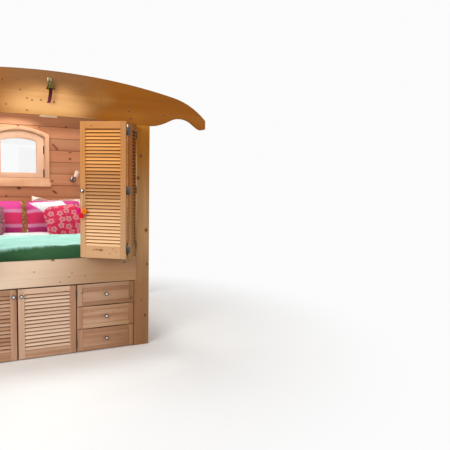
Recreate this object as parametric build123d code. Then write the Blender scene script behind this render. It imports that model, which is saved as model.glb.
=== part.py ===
from build123d import *
import math
import os

# Box bed alcove of a living wagon: bow-topped bulkhead, bed base, louvred leaves and end wall.
# Millimetres. X runs along the bulkhead, Y from the room to the end wall, Z up from the floor.

# Wagon body
inner_half_width = 1350.0
roof_crown = 2257.0
roof_eaves_drop = 292.0
roof_corner_radius = 600.0
roof_crown_radius = 4800.0

# Bulkhead board
panel_thickness = 45.0
bulkhead_y = -803.0
bed_half_width = 711.0
post_width = 116.0
opening_foot = 782.0
opening_drop = 367.0
opening_rise = 27.0
rail_foot = 573.0
passage_crown_drop = 291.0
passage_crown_inset = 270.0
passage_shoulder_drop = 309.0
passage_shoulder_inset = 148.0
passage_low_drop = 373.0
passage_low_inset = 34.0
passage_lift = 8.0

# Bed base
bed_depth = 1912.5
gable_thickness = 16.0
divider_thickness = 18.0
divider_x = 205.0
divider_setback = 34.0
bearer_height = 27.0
bearer_width = 44.0
side_rail_thickness = 27.0
slat_thickness = 20.0
slat_width = 90.0
slat_count = 14
slat_end_gap = 10.0

# Fronts of the cupboard and the drawers
front_gap = 5.0
door_meeting_gap = 10.0
front_thickness = 20.0
door_thickness = 28.0
floor_gap = 8.0
door_stile = 47.0
door_top_rail = 45.0
door_foot_rail = 66.0
door_louvres = 15
drawer_count = 3
drawer_depth = 430.0
drawer_side = 15.0
drawer_side_gap = 6.0
drawer_base = 8.0
drawer_box_lift = 12.0
drawer_box_drop = 18.0
drawer_front_stile = 42.0
drawer_front_rail = 33.0
drawer_panel_recess = 6.0
runner_height = 16.0
runner_bite = 5.5
runner_clearance = 0.4
knob_radius = 15.0
knob_stem_radius = 6.0
knob_length = 25.0
knob_dome = 7.0
knob_foot_radius = 9.0
knob_foot = 3.0
knob_neck = 12.0
knob_shoulder = 0.7
door_knob_drop = 57.0
door_knob_inset = 23.0

# Butt hinges
hinge_length = 64.0
pin_radius = 1.6
pin_clearance = 0.3
knuckle_radius = 3.5
knuckle_clearance = 0.8
hinge_gap = 2.5
pin_stand_off = 4.0
hinge_plate = 1.2
hinge_plate_depth = 18.0
hinge_end_gap = 45.0

# Folding louvred leaves in front of the bed
leaf_foot_gap = 22.0
leaf_head_gap = 10.0
leaf_thickness = 28.0
leaf_stile = 44.0
leaf_top_rail = 57.0
leaf_foot_rail = 97.0
leaf_louvres = 34
jamb_leaf_width = 320.0
free_leaf_width = 380.0
leaf_gap = 1.5
leaf_hinge_shares = (0.07, 0.5, 0.93)
leaf_knob_height = 1336.0
right_jamb_angle = 24.4
right_fold_angle = 51.5
left_jamb_angle = 8.0
left_fold_angle = 31.0

# Louvre slats
louvre_width = 34.0
louvre_thickness = 6.0
louvre_angle = 52.0
louvre_housing = 6.0

# End wall and its window
wall_thickness = 45.0
casement_drop = 383.0
casement_side = 440.0
casement_rise = 75.0
casement_border = 80.0
glass_half_width = 184.0
glass_sill = 56.0
glass_head = 37.0
glass_rise = 29.0
arch_spread = 0.75
casement_thickness = 40.0
lining_thickness = 14.0
window_gap = 3.0
casement_setback = 2.0
window_hinge_length = 88.0
window_hinge_reach = 9.0
window_hinge_inset = 8.0
window_hinge_drop = 84.0
architrave_width = 56.0
architrave_thickness = 18.0
sill_height = 42.0
sill_reach = 16.0
glass_thickness = 6.0

# Bedding: heights from the mattress, places from the room face of the bulkhead
mattress_clearance = 13.0
mattress_thickness = 240.0
mattress_edge = 30.0
quilt_thickness = 24.0
quilt_edge = 10.0
quilt_end = 1020.0
quilt_drop = 150.0
quilt_front_gap = 12.0
bedding_gap = 0.3
pillow_size = (600.0, 130.0, 330.0)
pillow_place = (-360.0, 1672.0, 22.0)
tall_pillow_outline = ((-262, 0), (290, 0), (285, 368), (-70, 350), (-251, 404))
tall_pillow_thickness = 120.0
tall_pillow_place = (360.0, 1676.0, 16.0)
front_pillow_outline = ((-50, 0), (245, 0), (200, 290), (80, 385), (-250, 361), (-50, 205))
front_pillow_thickness = 110.0
front_pillow_place = (292.0, 1339.0, 28.0)
striped_size = (540.0, 110.0, 355.0)
striped_middle = 33.0
striped_place = (280.0, 1532.0, 17.0)
floral_size = (400.0, 120.0, 345.0)
floral_place = (384.0, 1152.0, 28.0)
floral_roll = 7.0
patterned_place = (-402.0, 1318.0, 28.0)
soft_edge_share = 0.36

# Reading lamps on the end wall
lamp_x = 583.0
lamp_drop = 12.0
lamp_rose_radius = 34.0
lamp_rose_depth = 20.0
lamp_arm_radius = 5.0
lamp_arm_length = 58.0
lamp_ball_radius = 9.0
lamp_neck_length = 30.0
lamp_shade_radius = 28.0
lamp_shade_length = 72.0
lamp_shade_turn = 22.0
lamp_shade_taper = 0.8

# Bell and catch batten on the header
bell_x = 12.0
bell_plate_width = 34.0
bell_plate_height = 56.0
bell_plate_thickness = 4.0
bell_plate_drop = 52.0
bell_arm_radius = 4.0
bell_arm_length = 48.0
bell_arm_drop = 20.0
bell_stem_length = 16.0
bell_height = 58.0
bell_mouth_radius = 35.0
bell_wall = 3.0
bell_line = ((1.0, 0.0), (0.8, 0.22), (0.58, 0.55), (0.5, 0.85), (0.3, 1.0))
bell_pull_width = 26.0
bell_pull_thickness = 4.0
bell_pull_reach = 108.0
bell_pull_sway = 16.0
bell_pull_gap = 0.3
catch_width = 130.0
catch_height = 14.0
catch_depth = 30.0
catch_left = -60.0
catch_setback = 8.0

# Pom-pom cord on the free leaf's knob
cord_radius = 1.6
cord_drop = 168.0
cord_bend = 30.0
cord_bend_radius = 12.0
cord_face_gap = 8.0
pompom_radius = 22.0
pompom_stand = 29.0

roof_eaves = roof_crown - roof_eaves_drop
opening_spring = roof_crown - opening_drop
leaf_foot = opening_foot + leaf_foot_gap
leaf_height = opening_spring - leaf_head_gap - leaf_foot
casement_corner = roof_crown - casement_drop
casement_foot = casement_corner - casement_side
glass_foot = casement_foot + glass_sill
glass_corner = casement_corner - glass_head
wall_y = bulkhead_y + bed_depth
opening_half = bed_half_width - gable_thickness
deck_foot = rail_foot + bearer_height
deck_top = deck_foot + slat_thickness


def block(x0, x1, y0, y1, z0, z1):
    return Pos((x0 + x1) / 2, (y0 + y1) / 2, (z0 + z1) / 2) * Box(x1 - x0, y1 - y0, z1 - z0)


def upright(face_sketch, y, depth):
    """Thickens a face drawn in X and Z from the plane at y towards +Y."""
    return extrude(Plane.XZ.offset(-y) * face_sketch, -depth)


def bow_points():
    """Joint, turning point and eaves of the bow's right side arc, which rounds into the crown arc."""
    crown_z = roof_crown - roof_crown_radius
    reach = roof_crown_radius - roof_corner_radius
    rise = roof_eaves - crown_z
    span = math.hypot(inner_half_width, rise)
    along = (reach ** 2 - roof_corner_radius ** 2 + span ** 2) / (2 * span)
    across = math.sqrt(reach ** 2 - along ** 2)
    side_x = (inner_half_width * along - rise * across) / span
    side_z = crown_z + (rise * along + inner_half_width * across) / span
    scale = roof_crown_radius / reach
    joint = (side_x * scale, crown_z + (side_z - crown_z) * scale)
    start = math.atan2(joint[1] - side_z, joint[0] - side_x)
    end = math.atan2(roof_eaves - side_z, inner_half_width - side_x)
    middle = (start + end) / 2
    turn = (side_x + roof_corner_radius * math.cos(middle),
            side_z + roof_corner_radius * math.sin(middle))
    return joint, turn, (inner_half_width, roof_eaves)


def bow_edges():
    """Edges of the roof bow from the right eaves over the crown to the left eaves."""
    joint, turn, last = bow_points()
    right = ThreePointArc(last, turn, joint)
    crown = ThreePointArc(joint, (0, roof_crown), (-joint[0], joint[1]))
    left = ThreePointArc((-joint[0], joint[1]), (-turn[0], turn[1]), (-last[0], last[1]))
    return right, crown, left, last


def bow_header():
    right, crown, left, last = bow_edges()
    post_outer = bed_half_width + post_width
    top = (inner_half_width - passage_crown_inset, roof_crown - passage_crown_drop)
    shoulder = (inner_half_width - passage_shoulder_inset, roof_crown - passage_shoulder_drop)
    low = (inner_half_width - passage_low_inset, roof_crown - passage_low_drop)
    half = bed_half_width
    wave_end = low[1] + passage_lift
    edge = [right, crown, left]
    edge.append(Line((-last[0], last[1]), (-inner_half_width, wave_end)))
    left_wave = Spline(
        (-inner_half_width, wave_end),
        (-low[0], low[1]),
        (-shoulder[0], shoulder[1]),
        (-top[0], top[1]),
        (-post_outer, opening_spring),
        tangents=[(1, -0.35), (1, 0)],
    )
    right_wave = Spline(
        (post_outer, opening_spring),
        top,
        shoulder,
        low,
        (inner_half_width, wave_end),
        tangents=[(1, 0), (1, 0.35)],
    )
    edge.append(left_wave)
    edge.append(Line((-post_outer, opening_spring), (-half, opening_spring)))
    edge.append(ThreePointArc((-half, opening_spring), (0, opening_spring + opening_rise), (half, opening_spring)))
    edge.append(Line((half, opening_spring), (post_outer, opening_spring)))
    edge.append(right_wave)
    edge.append(Line((inner_half_width, wave_end), last))
    return upright(make_face(edge), bulkhead_y, panel_thickness)


def post(side):
    x0, x1 = sorted((side * bed_half_width, side * (bed_half_width + post_width)))
    return block(x0, x1, bulkhead_y, bulkhead_y + panel_thickness, 0, opening_spring)


def bed_rail():
    back = bulkhead_y + panel_thickness
    return block(-bed_half_width, bed_half_width, bulkhead_y, back, rail_foot, opening_foot)


def base_side(side):
    x0, x1 = sorted((side * opening_half, side * bed_half_width))
    return block(x0, x1, bulkhead_y, wall_y, 0, rail_foot)


def bed_side_rail(side):
    x0, x1 = sorted((side * bed_half_width, side * (bed_half_width + side_rail_thickness)))
    return block(x0, x1, bulkhead_y + panel_thickness, wall_y, rail_foot, opening_foot)


def deck_bearer(side):
    x0, x1 = sorted((side * (bed_half_width - bearer_width), side * bed_half_width))
    return block(x0, x1, bulkhead_y + panel_thickness, wall_y, rail_foot, deck_foot)


def base_divider():
    half = divider_thickness / 2
    front = bulkhead_y + panel_thickness
    tall = block(divider_x - half, divider_x + half, front, wall_y, 0, deck_foot)
    low = block(divider_x - half, divider_x + half, bulkhead_y + divider_setback, front, 0, rail_foot)
    return tall + low


def bed_slats():
    start = bulkhead_y + panel_thickness + slat_width / 2 + slat_end_gap
    end = wall_y - slat_width / 2 - slat_end_gap
    step = (end - start) / (slat_count - 1)
    width = 2 * bed_half_width
    middle = (deck_foot + deck_top) / 2
    return [Pos(0, start + step * i, middle) * Box(width, slat_width, slat_thickness) for i in range(slat_count)]


def louvre_leaf(width, height, thickness, stile, top_rail, foot_rail, count, slope):
    """Louvred leaf in its own frame: X across, Y through its thickness, Z up; its slats rise along Y by slope."""
    frame = block(0, width, 0, thickness, 0, height)
    frame -= block(stile, width - stile, -1, thickness + 1, foot_rail, height - top_rail)
    pitch = (height - top_rail - foot_rail) / count
    reach = width - 2 * stile + 2 * louvre_housing
    section = Rectangle(louvre_width, louvre_thickness)
    section = chamfer(section.vertices(), louvre_thickness / 3)
    slat = extrude(Plane.YZ * Rot(0, 0, slope) * section, reach)
    slats = []
    for i in range(count):
        z = foot_rail + pitch * (i + 0.5)
        slats.append(Pos(stile - louvre_housing, thickness / 2, z) * slat)
    return frame.fuse(*slats).clean()


def knob():
    """Domed knob standing on the plane y = 0 towards -Y."""
    rim = knob_length - knob_dome
    shoulder = knob_radius * knob_shoulder
    crest = knob_length - knob_dome * knob_shoulder ** 2 / 2
    profile = Polyline(
        (0, 0),
        (knob_foot_radius, 0),
        (knob_stem_radius, knob_foot),
        (knob_stem_radius, knob_neck),
        (knob_radius, rim),
        (shoulder, crest),
        (0, knob_length),
        close=True,
    )
    return Rot(180, 0, 0) * revolve(make_face(profile), Axis.Y)


def hinge_leaf(middle, face=hinge_gap, depth=pin_stand_off + hinge_plate_depth):
    """Plate and knuckles about a pin on the Z axis; the plate ends at face in X and runs to +Y."""
    length = hinge_length
    third = length / 3
    plate = block(face - hinge_plate, face, 0, depth, 0, length)
    web = block(0, face, knuckle_radius - hinge_plate, knuckle_radius, 0, length)
    barrel = Cylinder(knuckle_radius, length, align=(Align.CENTER, Align.CENTER, Align.MIN))
    body = plate + web + barrel
    room = knuckle_radius + knuckle_clearance
    run = pin_clearance
    if middle:
        cut = Cylinder(room, third + run, align=(Align.CENTER, Align.CENTER, Align.MIN))
        bore = Cylinder(pin_radius + run, length, align=(Align.CENTER, Align.CENTER, Align.MIN))
        return body - cut - Pos(0, 0, 2 * third - run) * cut - bore
    cut = Pos(0, 0, third) * Cylinder(room, third, align=(Align.CENTER, Align.CENTER, Align.MIN))
    pin = Cylinder(pin_radius, length, align=(Align.CENTER, Align.CENTER, Align.MIN))
    return body - cut + pin


# Cupboard doors: from the left gable to the divider
front_foot = floor_gap
front_head = rail_foot - front_gap
front_height = front_head - front_foot
left_pin_x = -opening_half + hinge_gap
right_pin_x = divider_x
pin_y = bulkhead_y - pin_stand_off
door_width = (right_pin_x - left_pin_x - 2 * hinge_gap - door_meeting_gap) / 2
left_door_x = left_pin_x + hinge_gap
right_door_x = right_pin_x - hinge_gap - door_width
hinge_heights = (front_foot + hinge_end_gap, front_head - hinge_end_gap - hinge_length)


def cupboard_door(x):
    leaf = louvre_leaf(door_width, front_height, door_thickness, door_stile,
                       door_top_rail, door_foot_rail, door_louvres, louvre_angle)
    return Pos(x, bulkhead_y, front_foot) * leaf


def door_knob(x):
    return Pos(x, bulkhead_y, front_head - door_knob_drop) * knob()


# Drawers: from the divider to the right gable
drawer_x0 = divider_x + knuckle_radius + front_gap
drawer_x1 = opening_half - front_gap
drawer_height = (front_height - front_gap * (drawer_count - 1)) / drawer_count
box_x0 = divider_x + divider_thickness / 2 + drawer_side_gap
box_x1 = opening_half - drawer_side_gap


def drawer_foot(i):
    return front_foot + i * (drawer_height + front_gap)


def drawer_front(i):
    z0 = drawer_foot(i)
    z1 = z0 + drawer_height
    board = block(drawer_x0, drawer_x1, bulkhead_y, bulkhead_y + front_thickness, z0, z1)
    x0 = drawer_x0 + drawer_front_stile
    x1 = drawer_x1 - drawer_front_stile
    back = bulkhead_y + drawer_panel_recess
    pocket = block(x0, x1, bulkhead_y - 1, back, z0 + drawer_front_rail, z1 - drawer_front_rail)
    return board - pocket


def drawer_box(i):
    z0 = drawer_foot(i) + drawer_box_lift
    z1 = drawer_foot(i) + drawer_height - drawer_box_drop
    y0 = bulkhead_y + front_thickness
    y1 = y0 + drawer_depth
    tray = block(box_x0, box_x1, y0, y1, z0, z1)
    side = drawer_side
    tray -= block(box_x0 + side, box_x1 - side, y0 + side, y1 - side, z0 + drawer_base, z1 + 1)
    groove = runner_height / 2 + runner_clearance
    middle = (z0 + z1) / 2
    depth = runner_bite + runner_clearance
    tray -= block(box_x0 - 1, box_x0 + depth, y0 - 1, y1 + 1, middle - groove, middle + groove)
    tray -= block(box_x1 - depth, box_x1 + 1, y0 - 1, y1 + 1, middle - groove, middle + groove)
    return tray


def drawer_runners():
    y0 = bulkhead_y + panel_thickness
    y1 = bulkhead_y + front_thickness + drawer_depth
    reach = drawer_side_gap + runner_bite
    runners = []
    for i in range(drawer_count):
        middle = drawer_foot(i) + (drawer_height + drawer_box_lift - drawer_box_drop) / 2
        z0 = middle - runner_height / 2
        z1 = middle + runner_height / 2
        left = divider_x + divider_thickness / 2
        runners.append(block(left, left + reach, y0, y1, z0, z1))
        runners.append(block(opening_half - reach, opening_half, y0, y1, z0, z1))
    return runners


def drawer_knob(i):
    middle = (drawer_x0 + drawer_x1) / 2
    return Pos(middle, bulkhead_y + drawer_panel_recess, drawer_foot(i) + drawer_height / 2) * knob()


def turned(angle, x, y, z=0.0):
    return Location((x, y, z), (0, 0, angle))


def leaf_places(jamb_angle, fold_angle):
    """Frames of the jamb leaf at its jamb pin and of the free leaf at the fold pin, right side."""
    jamb = (bed_half_width - leaf_gap, bulkhead_y - pin_stand_off)
    a = math.radians(jamb_angle)
    along = 2 * leaf_gap + jamb_leaf_width
    across = 2 * pin_stand_off + leaf_thickness
    fold_x = jamb[0] - along * math.sin(a) - across * math.cos(a)
    fold_y = jamb[1] - along * math.cos(a) + across * math.sin(a)
    jamb_frame = turned(-90 - jamb_angle, jamb[0], jamb[1])
    fold_frame = turned(90 + fold_angle, fold_x, fold_y)
    return jamb_frame, fold_frame


# A leaf's room side is its +Y face, so its slats fall towards +Y, as the doors' slats fall towards the room
def jamb_leaf(jamb_angle, fold_angle):
    jamb_frame, fold_frame = leaf_places(jamb_angle, fold_angle)
    leaf = louvre_leaf(jamb_leaf_width, leaf_height, leaf_thickness, leaf_stile,
                       leaf_top_rail, leaf_foot_rail, leaf_louvres, -louvre_angle)
    return jamb_frame * Pos(leaf_gap, -pin_stand_off - leaf_thickness, leaf_foot) * leaf


def free_leaf(jamb_angle, fold_angle):
    jamb_frame, fold_frame = leaf_places(jamb_angle, fold_angle)
    leaf = louvre_leaf(free_leaf_width, leaf_height, leaf_thickness, leaf_stile,
                       leaf_top_rail, leaf_foot_rail, leaf_louvres, -louvre_angle)
    return fold_frame * Pos(leaf_gap, pin_stand_off, leaf_foot) * leaf


def folded_hinge(first_angle, second_angle, first_side, second_side):
    """Closed butt hinge with its two plates turned about the pin on the Z axis."""
    barrel = Cylinder(knuckle_radius, hinge_length, align=(Align.CENTER, Align.CENTER, Align.MIN))
    reach = pin_stand_off + hinge_plate_depth
    first = block(leaf_gap - hinge_plate, leaf_gap, *sorted((0, first_side * reach)), 0, hinge_length)
    second = block(leaf_gap - hinge_plate, leaf_gap, *sorted((0, second_side * reach)), 0, hinge_length)
    return barrel + Rot(0, 0, first_angle) * first + Rot(0, 0, second_angle) * second


def leaf_hinges(jamb_angle, fold_angle):
    jamb_frame, fold_frame = leaf_places(jamb_angle, fold_angle)
    hinges = []
    for share in leaf_hinge_shares:
        z = leaf_foot + leaf_height * share - hinge_length / 2
        jamb = folded_hinge(-90 - jamb_angle, 0, -1, 1)
        hinges.append(Pos(jamb_frame.position.X, jamb_frame.position.Y, z) * jamb)
        fold = folded_hinge(90 + fold_angle, 90 - jamb_angle, 1, -1)
        hinges.append(Pos(fold_frame.position.X, fold_frame.position.Y, z) * fold)
    return hinges


def leaf_knob(jamb_angle, fold_angle):
    jamb_frame, fold_frame = leaf_places(jamb_angle, fold_angle)
    x = leaf_gap + free_leaf_width - leaf_stile / 2
    place = fold_frame * Pos(x, pin_stand_off + leaf_thickness, leaf_knob_height)
    return place * Rot(0, 0, 180) * knob()


def arched_face(half, foot, corner, rise):
    edges = [
        Line((-half, foot), (half, foot)),
        Line((half, foot), (half, corner)),
        ThreePointArc((half, corner), (0, corner + rise), (-half, corner)),
        Line((-half, corner), (-half, foot)),
    ]
    return make_face(edges)


def grown(border):
    half = glass_half_width + casement_border + border
    return half, casement_foot - border, casement_corner + border * arch_spread, casement_rise


def end_wall():
    right, crown, left, last = bow_edges()
    edges = [right, crown, left]
    edges.append(Line((-last[0], last[1]), (-last[0], 0)))
    edges.append(Line((-last[0], 0), (last[0], 0)))
    edges.append(Line((last[0], 0), last))
    face = make_face(edges) - arched_face(*grown(window_gap + lining_thickness))
    return upright(face, wall_y, wall_thickness)


def window_lining():
    face = arched_face(*grown(window_gap + lining_thickness)) - arched_face(*grown(window_gap))
    return upright(face, wall_y, wall_thickness)


def architrave(y, depth):
    half, foot, corner, rise = grown(architrave_width)
    outer = arched_face(half, foot, corner, rise)
    ring = outer - arched_face(*grown(window_gap + lining_thickness / 2))
    body = upright(ring, y, depth)
    sill = block(-half - sill_reach, half + sill_reach, y, y + depth, foot - sill_height, foot)
    return body + sill


def window_casement():
    outer = arched_face(*grown(0))
    hole = arched_face(glass_half_width, glass_foot, glass_corner, glass_rise)
    return upright(outer - hole, wall_y + casement_setback, casement_thickness)


def window_glass():
    pane = arched_face(glass_half_width, glass_foot, glass_corner, glass_rise)
    return upright(pane, wall_y + casement_setback + casement_thickness / 2, glass_thickness)


def window_hinge(z):
    """Surface hinge from the casement's right stile to the lining."""
    edge = glass_half_width + casement_border
    face = wall_y + casement_setback
    plate = block(edge - window_hinge_reach, edge + window_gap, face - hinge_plate, face, z, z + window_hinge_length)
    barrel = Cylinder(knuckle_radius, window_hinge_length, align=(Align.MAX, Align.MAX, Align.MIN))
    return plate + Pos(edge + window_gap, face - hinge_plate / 2, z) * barrel


def mattress():
    y0 = bulkhead_y + panel_thickness + quilt_front_gap + quilt_thickness + bedding_gap
    y1 = wall_y - mattress_clearance
    half = bed_half_width - mattress_clearance
    body = block(-half, half, y0, y1, deck_top, deck_top + mattress_thickness)
    return chamfer(body.edges(), mattress_edge)


bed_top = deck_top + mattress_thickness + bedding_gap


def quilt():
    """Quilt over the bed that turns down in front of the mattress, behind the rail."""
    half = bed_half_width - mattress_clearance
    y0 = bulkhead_y + panel_thickness + quilt_front_gap
    y1 = bulkhead_y + quilt_end
    top = bed_top + quilt_thickness
    inner = y0 + quilt_thickness
    section = Polyline(
        (y0, top - quilt_drop),
        (inner, top - quilt_drop),
        (inner, bed_top - mattress_edge),
        (inner + mattress_edge, bed_top),
        (y1, bed_top),
        (y1, top),
        (inner + mattress_edge / 2, top),
        (y0, top - mattress_edge),
        close=True,
    )
    body = extrude(Plane.YZ * make_face(section), half, both=True)
    return chamfer(body.edges().filter_by(Axis.X).sort_by(Axis.Z)[-2:], quilt_edge)


def cushion(outline, thickness, place, roll=0.0):
    """Soft panel resting on the bed at a place from the bulkhead, rolled in its plane and leaning back."""
    x, y, lean = place
    panel = make_face(Polyline(*outline, close=True))
    body = extrude(Plane.XZ * panel, thickness / 2, both=True)
    rims = body.edges().filter_by(Axis.Y, reverse=True)
    body = chamfer(rims, thickness * soft_edge_share)
    body = Rot(-lean, 0, 0) * Rot(0, -roll, 0) * body
    low = body.bounding_box().min.Z
    return Pos(x, bulkhead_y + y, bed_top - low) * body


def square_cushion(size, place, roll=0.0):
    width, thickness, height = size
    outline = ((-width / 2, 0), (width / 2, 0), (width / 2, height), (-width / 2, height))
    return cushion(outline, thickness, place, roll)


def mirrored(place):
    return -place[0], place[1], place[2]


def lamp_joint(side):
    """Frame at the lamp's ball joint, its Z axis along the neck and the shade."""
    y = wall_y - lamp_rose_depth - lamp_arm_length
    return Pos(side * lamp_x, y, casement_foot - lamp_drop) * Rot(0, side * lamp_shade_turn, 0)


def lamp_bracket(side):
    rose = Cylinder(lamp_rose_radius, lamp_rose_depth, rotation=(90, 0, 0))
    arm = Cylinder(lamp_arm_radius, lamp_arm_length, rotation=(90, 0, 0))
    body = Pos(0, -lamp_rose_depth / 2, 0) * rose
    body += Pos(0, -lamp_rose_depth - lamp_arm_length / 2, 0) * arm
    body = Pos(side * lamp_x, wall_y, casement_foot - lamp_drop) * body
    neck = Cylinder(lamp_arm_radius, lamp_neck_length, align=(Align.CENTER, Align.CENTER, Align.MIN))
    return body + lamp_joint(side) * (Sphere(lamp_ball_radius) + neck)


def lamp_shade(side):
    shade = Cone(
        lamp_shade_radius * lamp_shade_taper,
        lamp_shade_radius,
        lamp_shade_length,
        align=(Align.CENTER, Align.CENTER, Align.MIN),
    )
    return lamp_joint(side) * Pos(0, 0, lamp_neck_length + bedding_gap) * shade


def bell_bracket():
    """Plate on the header, its arm and the stem that holds the bell."""
    top = roof_crown - bell_plate_drop
    half = bell_plate_width / 2
    y = bulkhead_y - bell_plate_thickness
    plate = block(bell_x - half, bell_x + half, y, bulkhead_y, top - bell_plate_height, top)
    plate = chamfer(plate.edges().filter_by(Axis.Y), half / 2)
    arm_z = top - bell_arm_drop
    arm = Cylinder(bell_arm_radius, bell_arm_length, rotation=(90, 0, 0))
    stem = Cylinder(bell_arm_radius, bell_stem_length, align=(Align.CENTER, Align.CENTER, Align.MAX))
    arm_y = bulkhead_y - bell_arm_length
    plate += Pos(bell_x, bulkhead_y - bell_arm_length / 2, arm_z) * arm
    return plate + Pos(bell_x, arm_y + bell_arm_radius, arm_z) * stem


def bell_place():
    top = roof_crown - bell_plate_drop - bell_arm_drop - bell_stem_length
    return Pos(bell_x, bulkhead_y - bell_arm_length + bell_arm_radius, top - bell_height)


def bell_outline(radius, height, wall):
    """Outer line of the bell from its mouth to its crown, drawn in by wall."""
    return [(radius * r - wall, (height - wall) * z) for r, z in bell_line]


def hanging_bell():
    """Bell of one wall thickness, its mouth at z = 0."""
    outer = bell_outline(bell_mouth_radius, bell_height, 0)
    inner = bell_outline(bell_mouth_radius, bell_height, bell_wall)
    points = outer + [(0, bell_height), (0, bell_height - bell_wall)] + inner[::-1]
    return bell_place() * revolve(Plane.XZ * make_face(Polyline(*points, close=True)), Axis.Z)


def bell_pull():
    """Strap from under the crown inside the bell to below its mouth, where it bends aside."""
    place = bell_place().position
    shoulder, crown = bell_outline(bell_mouth_radius, bell_height, bell_wall)[-2:]
    corner = math.hypot(bell_pull_width / 2, bell_pull_thickness / 2)
    share = (shoulder[0] - corner) / (shoulder[0] - crown[0])
    top = place.Z + shoulder[1] + share * (crown[1] - shoulder[1]) - 2 * bell_pull_gap
    x0 = place.X - bell_pull_width / 2
    x1 = x0 + bell_pull_width
    foot = place.Z - bell_pull_reach
    left = TangentArc((x0, place.Z), (x0 - bell_pull_sway, foot), tangent=(0, -1))
    right = TangentArc((x1, place.Z), (x1 - bell_pull_sway, foot), tangent=(0, -1))
    head = Polyline((x0, place.Z), (x0, top), (x1, top), (x1, place.Z))
    end = Line((x0 - bell_pull_sway, foot), (x1 - bell_pull_sway, foot))
    strap = make_face([left, head, right, end])
    return upright(strap, place.Y - bell_pull_thickness / 2, bell_pull_thickness)


def catch_batten():
    arch_radius = (bed_half_width ** 2 + opening_rise ** 2) / (2 * opening_rise)
    reach = max(abs(catch_left), abs(catch_left + catch_width))
    sag = arch_radius - math.sqrt(arch_radius ** 2 - reach ** 2)
    z1 = opening_spring + opening_rise - sag
    y0 = bulkhead_y + catch_setback
    return block(catch_left, catch_left + catch_width, y0, y0 + catch_depth, z1 - catch_height, z1)


def cord_frame(jamb_angle, fold_angle):
    """Frame on the free leaf's outer face at the knob: X along the leaf, Y away from its face."""
    jamb_frame, fold_frame = leaf_places(jamb_angle, fold_angle)
    x = leaf_gap + free_leaf_width - leaf_stile / 2
    return fold_frame * Pos(x, pin_stand_off + leaf_thickness, leaf_knob_height)


def pompom_cord(jamb_angle, fold_angle):
    start = -knob_stem_radius
    path = FilletPolyline(
        (0, cord_face_gap, start),
        (0, cord_face_gap, start - cord_bend),
        (0, pompom_stand, start - cord_drop),
        radius=cord_bend_radius,
    )
    profile = Plane(path @ 0, z_dir=path % 0) * Circle(cord_radius)
    return cord_frame(jamb_angle, fold_angle) * sweep(profile, path=path)


def pompoms(jamb_angle, fold_angle):
    r = pompom_radius
    profile = Polyline(
        (0, -r),
        (r * 0.6, -r * 0.8),
        (r, 0),
        (r * 0.6, r * 0.8),
        (0, r),
        close=True,
    )
    ball = revolve(Plane.XZ * make_face(profile), Axis.Z)
    side = r + cord_radius + bedding_gap
    low = -knob_stem_radius - cord_drop - r - bedding_gap
    high = low + math.sqrt((2 * r + bedding_gap) ** 2 - side ** 2)
    slope = (pompom_stand - cord_face_gap) / (cord_drop - cord_bend)
    stand = pompom_stand - slope * (high - low - r)
    frame = cord_frame(jamb_angle, fold_angle)
    places = [(-side, stand, high), (side, stand, high), (0, pompom_stand, low)]
    return [frame * Pos(*place) * ball for place in places]


os.makedirs("parts", exist_ok=True)
nodes = {}
nodes["bow_header"] = [bow_header()]
nodes["bulkhead_posts"] = [post(-1), post(1)]
nodes["bed_rail"] = [bed_rail()]
nodes["base_sides"] = [base_side(-1), base_side(1)]
nodes["bed_side_rails"] = [bed_side_rail(-1), bed_side_rail(1)]
nodes["deck_bearers"] = [deck_bearer(-1), deck_bearer(1)]
nodes["base_divider"] = [base_divider()]
nodes["bed_slats"] = bed_slats()
nodes["end_wall"] = [end_wall()]
nodes["window_lining"] = [window_lining()]
nodes["window_trim"] = [
    architrave(wall_y - architrave_thickness, architrave_thickness),
    architrave(wall_y + wall_thickness, architrave_thickness),
]
nodes["window_casement"] = [window_casement()]
nodes["window_glass"] = [window_glass()]
nodes["window_hinges"] = [
    window_hinge(casement_foot + window_hinge_inset),
    window_hinge(casement_corner - window_hinge_drop - window_hinge_length),
]
nodes["mattress"] = [mattress()]
nodes["quilt"] = [quilt()]
nodes["pillows"] = [
    square_cushion(pillow_size, pillow_place),
    cushion(tall_pillow_outline, tall_pillow_thickness, tall_pillow_place),
    cushion(front_pillow_outline, front_pillow_thickness, front_pillow_place),
]
nodes["striped_cushions"] = [
    Pos(striped_middle, 0, 0) * square_cushion(striped_size, striped_place),
    Pos(striped_middle, 0, 0) * square_cushion(striped_size, mirrored(striped_place)),
]
nodes["floral_cushions"] = [
    square_cushion(floral_size, floral_place, floral_roll),
    square_cushion(floral_size, patterned_place),
]
nodes["lamp_brackets"] = [lamp_bracket(-1), lamp_bracket(1)]
nodes["lamp_shades"] = [lamp_shade(-1), lamp_shade(1)]
nodes["bell_bracket"] = [bell_bracket()]
nodes["hanging_bell"] = [hanging_bell()]
nodes["bell_pull"] = [bell_pull()]
nodes["catch_batten"] = [catch_batten()]

right_fold = (right_jamb_angle, right_fold_angle)
left_fold = (left_jamb_angle, left_fold_angle)
nodes["jamb_leaf_right"] = [jamb_leaf(*right_fold)]
nodes["free_leaf_right"] = [free_leaf(*right_fold)]
nodes["jamb_leaf_left"] = [mirror(jamb_leaf(*left_fold), Plane.YZ)]
nodes["free_leaf_left"] = [mirror(free_leaf(*left_fold), Plane.YZ)]
nodes["leaf_hinges"] = leaf_hinges(*right_fold) + [mirror(h, Plane.YZ) for h in leaf_hinges(*left_fold)]
nodes["leaf_knobs"] = [leaf_knob(*right_fold), mirror(leaf_knob(*left_fold), Plane.YZ)]
nodes["pompom_cord"] = [pompom_cord(*right_fold)]
nodes["pompoms"] = pompoms(*right_fold)

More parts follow.
